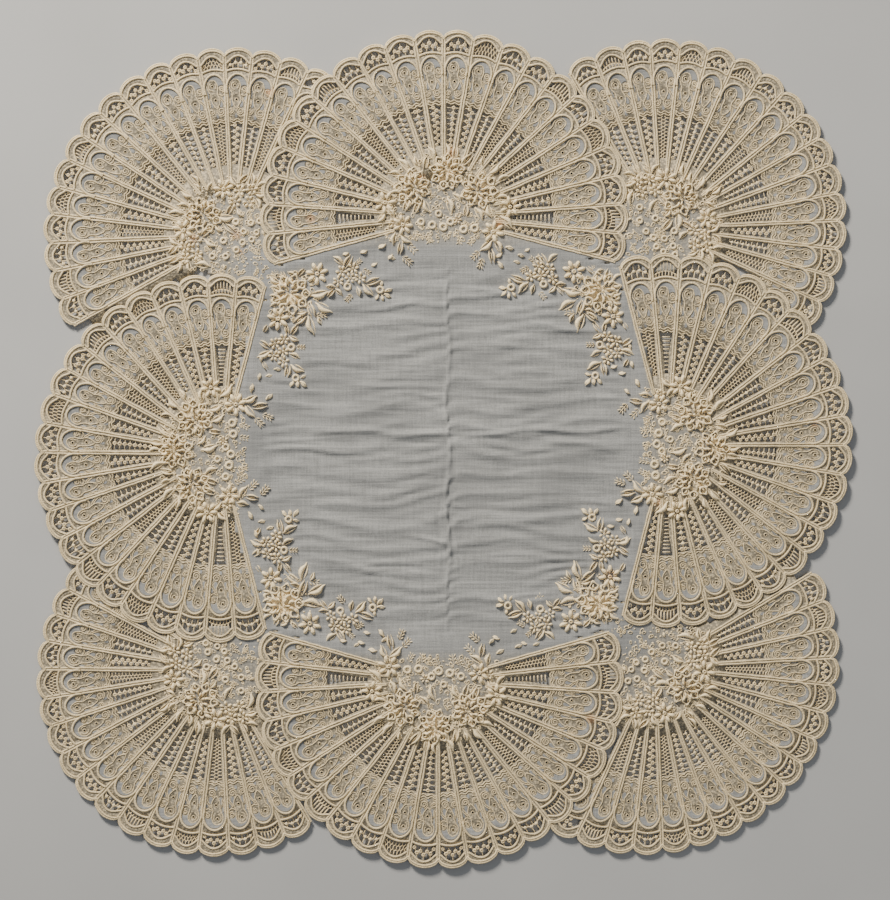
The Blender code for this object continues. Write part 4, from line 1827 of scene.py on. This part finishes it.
def drift(x: np.ndarray, y: np.ndarray, size: float, seed: int) -> np.ndarray:
    """A smooth uneven field, from about -1 to 1, with forms about this many millimetres wide.

    Args:
        x: The points' places.
        y: The points' places.
        size: How wide its forms are.
        seed: Which field it is.
    Returns:
        Its value at each point.
    """
    draw = random.Random(seed)
    total = np.zeros_like(x)
    for _ in range(9):
        turn, phase = draw.uniform(0.0, math.pi), draw.uniform(0.0, 2.0 * math.pi)
        step = size * draw.uniform(0.7, 1.6) / (2.0 * math.pi)
        total += np.sin((x * math.cos(turn) + y * math.sin(turn)) / step + phase)
    return total / 3.0


@dataclass
class Ground:
    """The plain sheer centre with its folds and ripples, in millimetres.

    It reaches from the middle to half_side, drawn from a grid with narrow cells across the
    upright fold. Under a fan it goes on for the inset, for the lap at the fan's ends, and all
    over the hub within its radius.
    """

    fans: tuple[Fan, ...]
    half_side: float = 122.0
    reach: float = 150.0
    cell_x: float = 3.0
    cell_y: float = 1.16
    fold: tuple[float, float] = (-5.0, 9.0)
    fold_lines: int = 16
    level: float = 1.0
    lowest: float = -0.55
    highest: float = 1.3
    hub_radius: float = 29.0
    corner_hub_radius: float = 25.0
    inset: float = 2.4
    lap: float = 1.7
    worked_from: float = 112.0

    def lines(self) -> tuple[np.ndarray, np.ndarray]:
        """Where the cloth's grid lines run: close together along the upright fold."""
        left, right = self.fold
        before = round((left + self.reach) / self.cell_x)
        after = round((self.reach - right) / self.cell_x) + 1
        x = np.concatenate([
            np.linspace(-self.reach, left, before, endpoint=False),
            np.linspace(left, right, self.fold_lines, endpoint=False),
            np.linspace(right, self.reach, after),
        ])
        return x, np.linspace(-self.reach, self.reach, round(2 * self.reach / self.cell_y) + 1)

    def height(self, x: np.ndarray, y: np.ndarray) -> np.ndarray:
        """Height of the creased cloth above its level.

        Args:
            x: The points' places.
            y: The points' places.
        Returns:
            Heights in millimetres.
        """
        total = np.zeros_like(x)
        for cx, cy, length, width, rise, turn in CREASES:
            angle = math.radians(turn)
            along = (x - cx) * math.cos(angle) + (y - cy) * math.sin(angle)
            aside = -(x - cx) * math.sin(angle) + (y - cy) * math.cos(angle)
            aside = aside + 1.2 * np.sin(along / 9.0 + cx)
            fade = np.clip(1.0 - (2 * along / length) ** 2, 0.0, 1.0)
            total += rise * fade * np.exp(-(aside / (0.5 * width)) ** 2)
        side = x - CREASES[0][0]
        bend = 2.6 * np.exp(-np.abs(side) / 5.5) * np.where(side > 0.0, 1.0, -0.5)
        patches = drift(0.6 * x, y, 40.0, 2)
        phase = y / 1.25 + 2.6 * drift(0.5 * x, y, 34.0, 1) + bend
        total += 0.34 * np.clip(0.45 + 0.6 * patches, 0.0, 1.0) * np.sin(phase)
        phase = y / 2.1 + 2.2 * drift(0.55 * x, y, 46.0, 3) + bend
        sharp = 1.0 - 2.0 * np.abs(np.sin(0.5 * phase))
        total += 0.5 * np.clip(0.45 - 0.6 * patches, 0.0, 1.0) * sharp
        phase = y / 0.75 + 2.2 * drift(0.5 * x, y, 22.0, 4) + bend
        total += 0.15 * np.clip(0.5 + 0.6 * drift(0.7 * x, y, 26.0, 5), 0.0, 1.0) * np.sin(phase)
        total += 0.22 * drift(0.8 * x, y, 30.0, 6)
        return np.clip(total, self.lowest, self.highest)

    def from_ends(self, fan: Fan, x: np.ndarray, y: np.ndarray) -> np.ndarray:
        """How far each point is from the nearer end of a fan.

        Args:
            fan: The fan.
            x: The points' places.
            y: The points' places.
        Returns:
            Distances in millimetres.
        """
        nearest = np.full_like(x, np.inf)
        for end in (0.0, float(fan.blades)):
            foot, tip = fan.spots(np.array([end, end]), np.array([20.0, 98.0]))
            span = tip - foot
            aside, up = x - foot[0], y - foot[1]
            along = np.clip((aside * span[0] + up * span[1]) / float(span @ span), 0.0, 1.0)
            nearest = np.minimum(nearest, np.hypot(aside - along * span[0], up - along * span[1]))
        return nearest

    def cloth(self) -> tuple[np.ndarray, np.ndarray, np.ndarray]:
        """The centre's cloth as a grid, left out where a fan's cloth takes over.

        Returns:
            Points, quads, and the plan of each quad's corners, which says how worked it is.
        """
        x, y = np.meshgrid(*self.lines(), indexing="ij")
        low_edge = np.clip((np.maximum(np.abs(x), np.abs(y)) - 92.0) / 15.0, 0.0, 1.0)
        z = self.level + (1.0 - low_edge) * self.height(x, y)
        for fan in sorted(self.fans, key=lambda fan: fan.level):
            near = np.clip((36.0 - np.hypot(x - fan.x, y - fan.y)) / 10.0, 0.0, 1.0)
            z += max(0.0, fan.level + 0.1 - self.level) * near * low_edge
            share = np.clip((8.5 - self.from_ends(fan, x, y)) / 4.5, 0.0, 1.0)
            z += share * (fan.level + 0.12 - z)
        numbers = np.arange(x.size).reshape(x.shape)
        quads = np.stack([numbers[:-1, :-1], numbers[1:, :-1], numbers[1:, 1:],
                          numbers[:-1, 1:]], axis=-1)
        centre = np.stack([x[:-1, :-1] + x[1:, 1:], y[:-1, :-1] + y[1:, 1:]], axis=-1) * 0.5
        keep = np.max(np.abs(centre), axis=-1) < self.half_side
        for fan in self.fans:
            inside = self.from_ends(fan, centre[..., 0], centre[..., 1]) > self.lap
            keep &= ~(fan.covers(centre, self.inset, self.hub_radius) & inside)
        for fan in self.fans:
            reach = self.hub_radius if fan.over else self.corner_hub_radius
            keep |= np.hypot(centre[..., 0] - fan.x, centre[..., 1] - fan.y) < reach
        points = np.stack([x, y, z], axis=-1).reshape(-1, 3)
        worked = (np.maximum(np.abs(x), np.abs(y)) - self.worked_from) / 8.0
        worked = np.clip(worked, 0.0, 1.0).reshape(-1)
        plan = np.stack([np.zeros_like(worked), WORKED_GROUND * worked], axis=-1)
        return points, quads[keep], plan[quads[keep]]


# Seeds of a side hub, a corner hub and a spray: how far they go from its middle and how many
# there are.
SIDE_SEEDS = (36.0, 620)
CORNER_SEEDS = (34.0, 620)
SPRAY_SEEDS = (16.0, 90)
# How far a side hub's seeds go behind its middle, and how far from a fan's edge they stay.
SEEDS_BEHIND = 14.0
SEEDS_CLEARANCE = 1.0


@dataclass
class Flowers:
    """The padded flowers, rings and leaves of one hub or one spray."""

    forms: Forms
    stitches: Stitches
    level: float
    draw: random.Random

    def put(self, shape: Shape, x: float, y: float, size: Sequence[float], turn: float,
            lift: float = 0.0) -> None:
        """Place one copy at the cloth's height."""
        self.stitches.add(shape, x, y, self.level + lift, size, turn)

    def spread(self, shape: Shape, x: float, y: float, reach: float, count: int,
               size: Sequence[float], start: float, lift: float = 0.0) -> None:
        """Place copies evenly round a point, each pointing away from it.

        Args:
            shape: The form.
            x: The point.
            y: The point.
            reach: How far from it they are.
            count: How many there are.
            size: Their length, width and height.
            start: The direction of the first.
            lift: Their height above the cloth.
        """
        for k in range(count):
            turn = start + 360.0 * (k + self.draw.uniform(-0.12, 0.12)) / count
            spot = polar(x, y, reach * self.draw.uniform(0.95, 1.05), math.radians(turn))
            long = size[0] * self.draw.uniform(0.92, 1.08)
            self.put(shape, *spot, (long, size[1], size[2]), turn, lift)

    def chrysanthemum(self, x: float, y: float, size: float, turn: float) -> None:
        """A double flower: corded outer petals, padded inner ones and an open net heart.

        Args:
            x: Its middle.
            y: Its middle.
            size: Its size in millimetres.
            turn: Its direction in degrees.
        """
        forms = self.forms
        self.put(forms.dome, x, y, (1.5 * size, 1.5 * size, 0.9), 0.0, -0.2)
        heart = polar(x, y, 0.16 * size, math.radians(turn))
        self.spread(forms.loop, x, y, 0.8 * size, 9, (0.56 * size, 0.6 * size, 6.0), turn, 0.7)
        self.spread(forms.leaf, x, y, 0.8 * size, 9, (0.26 * size, 0.1 * size, 2.2), turn, 0.3)
        self.spread(forms.leaf, *heart, 0.54 * size, 9, (0.46 * size, 0.17 * size, 4.2),
                    turn + 14.0, 0.3)
        self.spread(forms.petal, *heart, 0.34 * size, 6, (0.3 * size, 0.13 * size, 4.4), turn, 0.3)
        self.spread(forms.button, *heart, 0.13 * size, 3, (0.08 * size, 0.08 * size, 2.6), turn,
                    0.3)

    def petals(self, x: float, y: float, size: float, turn: float) -> None:
        """A single flower: seven padded petals, a smaller one between each two, and a ring.

        Args:
            x: Its middle.
            y: Its middle.
            size: Its size in millimetres.
            turn: Its direction in degrees.
        """
        petal = self.forms.petal
        self.spread(petal, x, y, 0.66 * size, 7, (0.72 * size, 0.4 * size, 3.6), turn, 0.2)
        self.spread(petal, x, y, 0.5 * size, 7, (0.34 * size, 0.16 * size, 1.8), turn + 25.7, 0.1)
        self.put(self.forms.button, x, y, (0.2 * size, 0.2 * size, 2.6), 0.0, 0.5)

    def daisy(self, x: float, y: float, size: float, turn: float) -> None:
        """A small flower of six padded petals round an eyelet."""
        self.spread(self.forms.petal, x, y, 0.66 * size, 6, (0.7 * size, 0.5 * size, 3.2), turn)
        self.put(self.forms.button, x, y, (0.22 * size, 0.22 * size, 2.2), 0.0, 0.4)

    def ring(self, x: float, y: float, size: float, turn: float) -> None:
        """A buttonholed ring."""
        self.put(self.forms.ring, x, y, (0.98 * size, 0.98 * size, 2.6),
                 self.draw.uniform(0.0, 360.0), 0.4)

    def leaf(self, x: float, y: float, size: float, turn: float) -> None:
        """A curved leaf: one edge thickly padded, the other a fine outline.

        Args:
            x: Its middle.
            y: Its middle.
            size: Its size in millimetres.
            turn: Its direction in degrees.
        """
        bend = 1.0 if self.draw.random() < 0.5 else -1.0
        spot = polar(x, y, -0.13 * bend * size, math.radians(turn + 90.0))
        self.put(self.forms.leaf, *spot, (0.94 * size, -0.1 * bend * size, 1.5), turn)
        self.put(self.forms.leaf, x, y, (1.1 * size, 0.32 * bend * size, 3.8), turn)

    def seeded_leaf(self, x: float, y: float, size: float, turn: float) -> None:
        """A leaf with two padded edges that meet at its point, and a seeded middle.

        Args:
            x: Its middle.
            y: Its middle.
            size: Its size in millimetres.
            turn: Its direction in degrees.
        """
        angle = math.radians(turn + 90.0)
        aside = 0.12 * size
        self.put(self.forms.petal, x, y, (0.6 * size, 0.08 * size, 1.3), turn)
        leaf, long = self.forms.leaf, 1.08 * size
        self.put(leaf, *polar(x, y, aside, angle), (long, 0.18 * size, 3.6), turn)
        self.put(leaf, *polar(x, y, -aside, angle), (long, -0.13 * size, 2.6), turn)

    def bud(self, x: float, y: float, size: float, turn: float) -> None:
        """A small bud."""
        self.put(self.forms.petal, x, y, (size, 0.56 * size, 1.9), turn)
        self.put(self.forms.leaf, x, y, (1.1 * size, 0.3 * size, 2.5), turn + 12.0)

    def sprig(self, x: float, y: float, size: float, turn: float) -> None:
        """A fern sprig: small leaves by twos along a stem.

        Args:
            x: Its middle.
            y: Its middle.
            size: Its size in millimetres.
            turn: Its direction in degrees.
        """
        angle = math.radians(turn)
        self.put(self.forms.petal, x, y, (size, 0.07 * size, 1.2), turn)
        for k in range(3):
            along = (-0.3 + 0.28 * k) * size
            for side in (-1.0, 1.0):
                aside = side * 0.17 * size
                self.put(self.forms.petal,
                         x + along * math.cos(angle) - aside * math.sin(angle),
                         y + along * math.sin(angle) + aside * math.cos(angle),
                         (0.32 * size, 0.1 * size, 1.6), turn + side * 38.0)

    def seeds(self, x: float, y: float, reach: float, count: int, clear: Callable) -> None:
        """Scatter small stitches, curls and tiny leaves over the cloth round a point.

        Args:
            x: Middle of the ground to fill.
            y: Middle of the ground to fill.
            reach: How far from the middle they go.
            count: How many there are.
            clear: Says of a point whether it may hold a stitch.
        """
        for k in range(count):
            away = reach * math.sqrt(self.draw.random())
            angle = self.draw.uniform(0.0, 2 * math.pi)
            spot = polar(x, y, away, angle)
            turn = self.draw.uniform(0.0, 360.0)
            size = self.draw.uniform(0.8, 1.3)
            if not clear(*spot):
                continue
            if k % 2 == 0:
                self.put(self.forms.curl, *spot, (1.6 * size, 1.05 * size, 2.4), turn, 0.25)
            elif k % 7 == 0:
                self.put(self.forms.button, *spot, (0.9 * size, 0.9 * size, 1.3), turn, 0.15)
            else:
                self.put(self.forms.knot, *spot, (1.6 * size, 1.0 * size, 1.3), turn, 0.1)

    def work(self, motif: Motif, x: float, y: float, size: float, turn: float) -> None:
        """Work one figure."""
        getattr(self, motif.value)(x, y, size, turn)


@dataclass
class Handkerchief:
    """The whole cloth, built fan by fan around its sheer centre."""

    finishes: Finishes
    forms: Forms
    middle: Point
    thickness: float = 0.85
    centre_share: float = 0.4
    pieces: list = field(default_factory=list)

    def shifted(self, fans: tuple[Fan, ...]) -> tuple[Fan, ...]:
        """The fans with the cloth's middle on the origin."""
        x, y = self.middle
        return tuple(replace(fan, x=fan.x - x, y=fan.y - y) for fan in fans)

    def build(self) -> None:
        """Build every piece."""
        section = cord_section()
        sides, corners = self.shifted(SIDE_FANS), self.shifted(CORNER_FANS)
        works = [FanWork(fan, self.forms, (), SIDE_WINDOWS) for fan in sides]
        works += [FanWork(fan, self.forms, sides, CORNER_WINDOWS) for fan in corners]
        sheets = [Ground(sides + corners).cloth()]
        for made in works:
            name = made.fan.name
            sheets.append(made.cloth())
            ribs = Cords("ribs_" + name)
            made.ribs(ribs)
            made.arches(ribs)
            made.border(ribs)
            self.keep(ribs.build(section, self.finishes.cord))
            scrolls = Cords("scrolls_" + name)
            eyelets = Stitches("eyelets_" + name)
            made.panels(scrolls, eyelets)
            self.keep(scrolls.build(section, self.finishes.cord))
            self.keep(eyelets.build(self.finishes.cord))
            lace = Stitches("lace_" + name)
            made.openwork(lace)
            self.keep(lace.build(self.finishes.lace))
            self.keep(self.hub(made.fan))
        for number, spray in enumerate(SPRAYS):
            self.keep(self.spray(number, *spray))
        self.cloth(sheets)
        bpy.data.objects.remove(section, do_unlink=True)

    def keep(self, piece: bpy.types.Object) -> None:
        """Note one finished piece.

        Args:
            piece: The piece.
        """
        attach(piece, "root")
        self.pieces.append(piece)
        triangles = sum(len(face.vertices) - 2 for face in piece.data.polygons)
        LOG.info("%s: %d triangles", piece.name, triangles)

    def hub(self, fan: Fan) -> bpy.types.Object:
        """The flowers of one fan's hub.

        Args:
            fan: The fan.
        Returns:
            The hub's embroidery as one piece.
        """
        stitches = Stitches("flowers_" + fan.name)
        draw = random.Random(fan.name + "_flowers")
        flowers = Flowers(self.forms, stitches, fan.level - 0.1, draw)
        if fan.over:
            for motif, across, out, size, turn in figures(SIDE_HUB):
                x, y = fan.place(across, out)
                flowers.work(motif, x, y, size, turn + fan.outward - 90.0)
        else:
            spin = math.radians(fan.outward - 135.0)
            for motif, right, up, size, turn in figures(CORNER_HUB):
                x = fan.x + right * math.cos(spin) - up * math.sin(spin)
                y = fan.y + right * math.sin(spin) + up * math.cos(spin)
                flowers.work(motif, x, y, size, turn + fan.outward - 135.0)
        aside = math.radians(fan.outward)
        sides = self.shifted(SIDE_FANS)

        def clear(x: float, y: float) -> bool:
            """Whether a point is on the hub's own cloth."""
            spot = np.array([x, y])
            out = (x - fan.x) * math.cos(aside) + (y - fan.y) * math.sin(aside)
            if fan.over:
                return out > -SEEDS_BEHIND
            return not any(side.covers(spot, -SEEDS_CLEARANCE) for side in sides)

        flowers.seeds(fan.x, fan.y, *(SIDE_SEEDS if fan.over else CORNER_SEEDS), clear)
        return stitches.build(self.finishes.thread)

    def spray(self, number: int, x: float, y: float, right: float, up: float) -> bpy.types.Object:
        """One of the four sprays of the centre.

        Args:
            number: Which spray it is.
            x: Place of its large flower.
            y: Place of its large flower.
            right: 1, or -1 where the spray is a mirror image from left to right.
            up: 1, or -1 where it is one from top to bottom.
        Returns:
            The spray's embroidery as one piece.
        """
        stitches = Stitches(f"spray_{number + 1}")
        flowers = Flowers(self.forms, stitches, 0.9, random.Random(f"spray_{number}"))
        x, y = x - self.middle[0], y - self.middle[1]
        for motif, steps_right, steps_up, size, turn in figures(SPRAY):
            facing = turn if right > 0.0 else 180.0 - turn
            flowers.work(motif, x + right * steps_right * SPRAY_STEP,
                         y + up * steps_up * SPRAY_STEP, size, facing if up > 0.0 else -facing)
        sides = self.shifted(SIDE_FANS)

        def clear(px: float, py: float) -> bool:
            """Whether a point is on the centre's cloth."""
            return not any(fan.covers(np.array([px, py]), -SEEDS_CLEARANCE) for fan in sides)

        flowers.seeds(x, y, *SPRAY_SEEDS, clear)
        return stitches.build(self.finishes.thread)

    def cloth(self, sheets: list) -> None:
        """Args:
            sheets: Points, quads and plan of the centre first, then of each fan.
        """
        points, corners, plans, count = [], [], [], 0
        for sheet_points, quads, plan in sheets:
            used = np.unique(quads)
            lookup = np.zeros(len(sheet_points), int)
            lookup[used] = np.arange(len(used))
            points.append(sheet_points[used])
            corners.append((lookup[quads] + count).ravel())
            plans.append(plan.reshape(-1, 2))
            count += len(used)
        corners = np.concatenate(corners)
        piece = mesh_object("batiste_cloth", np.concatenate(points), corners,
                            np.full(len(corners) // 4, 4), PLAN_SCALE * np.concatenate(plans))
        piece.data.materials.append(self.finishes.batiste)
        worked = piece.vertex_groups.new(name="worked")
        centre_count = len(points[0])
        worked.add(list(range(centre_count)), self.centre_share, "REPLACE")
        worked.add(list(range(centre_count, count)), 1.0, "REPLACE")
        pick(piece)
        wall = piece.modifiers.new("thickness", "SOLIDIFY")
        wall.thickness = self.thickness * MM
        wall.offset = -1.0
        wall.vertex_group = worked.name
        bpy.ops.object.modifier_apply(modifier=wall.name)
        for face in piece.data.polygons:
            face.use_smooth = abs(face.normal.z) > 0.4
        others = list(self.pieces)
        self.keep(piece)
        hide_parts("handkerchief")


@dataclass
class Studio:
    """The table, the lights and the camera."""

    finish: bpy.types.Material
    lens: float = 85.0
    sensor: float = 36.0

    def table(self) -> None:
        """A plain pale table top under the cloth."""
        clear_selection()
        bpy.ops.mesh.primitive_plane_add(size=6.0, location=(0.0, 0.0, -0.0001))
        top = bpy.context.object
        top.name = "table_top"
        top.data.materials.append(self.finish)

    def lamp(self, name: str, place: Triple, power: float, size: float, tint: Triple) -> None:
        """One soft lamp that shines at the cloth.

        Args:
            name: Its name.
            place: Where it is, in metres.
            power: Its power in watts.
            size: Its side in metres.
            tint: The colour of its light.
        """
        light = bpy.data.lights.new(name, "AREA")
        light.color = tint
        light.energy = power
        light.size = size
        lamp = bpy.data.objects.new(name, light)
        lamp.location = place
        aim = -np.array(place, float)
        yaw = math.atan2(aim[1], aim[0])
        tilt = math.atan2(math.hypot(aim[0], aim[1]), -aim[2])
        lamp.rotation_euler = (0.0, -tilt, yaw)
        bpy.context.scene.collection.objects.link(lamp)

    def lights(self) -> None:
        """A raking key lamp from above the photo's top edge, and a soft even fill."""
        self.lamp("key", (-0.85, 1.55, 0.93), 94.0, 0.42, (1.0, 0.94, 0.83))
        self.lamp("fill", (0.9, -0.7, 1.8), 5.0, 1.2, (1.0, 1.0, 1.0))
        world = bpy.data.worlds.new("studio")
        world.use_nodes = True
        background = world.node_tree.nodes["Background"]
        background.inputs["Color"].default_value = (0.88, 0.94, 1.0, 1.0)
        background.inputs["Strength"].default_value = 0.24
        bpy.context.scene.world = world

    def camera(self, middle: Point) -> None:
        """A camera straight above, framed as the photograph is.

        Args:
            middle: The middle of the cloth, as the tables place it.
        """
        frame_height = PHOTO_SIZE[1] * MM_PER_PIXEL * MM
        x = ((0.5 * PHOTO_SIZE[0] - TABLE_CENTRE[0]) * MM_PER_PIXEL - middle[0]) * MM
        y = ((TABLE_CENTRE[1] - 0.5 * PHOTO_SIZE[1]) * MM_PER_PIXEL - middle[1]) * MM
        data = bpy.data.cameras.new("camera")
        data.lens = self.lens
        data.sensor_width = self.sensor
        data.sensor_fit = "AUTO"
        camera = bpy.data.objects.new("camera", data)
        camera.location = (x, y, 0.001 + frame_height * self.lens / self.sensor)
        bpy.context.scene.collection.objects.link(camera)
        bpy.context.scene.camera = camera


def main() -> None:
    """Build the scene in order."""
    logging.basicConfig(level=logging.INFO, format="%(name)s: %(message)s")
    finishes = Finishes.make()
    middle = outline_middle(SIDE_FANS + CORNER_FANS)
    studio = Studio(finishes.table)
    studio.camera(middle)
    studio.lights()
    studio.table()
    Handkerchief(finishes, Forms(), middle).build()


if __name__ == "__main__":
    main()
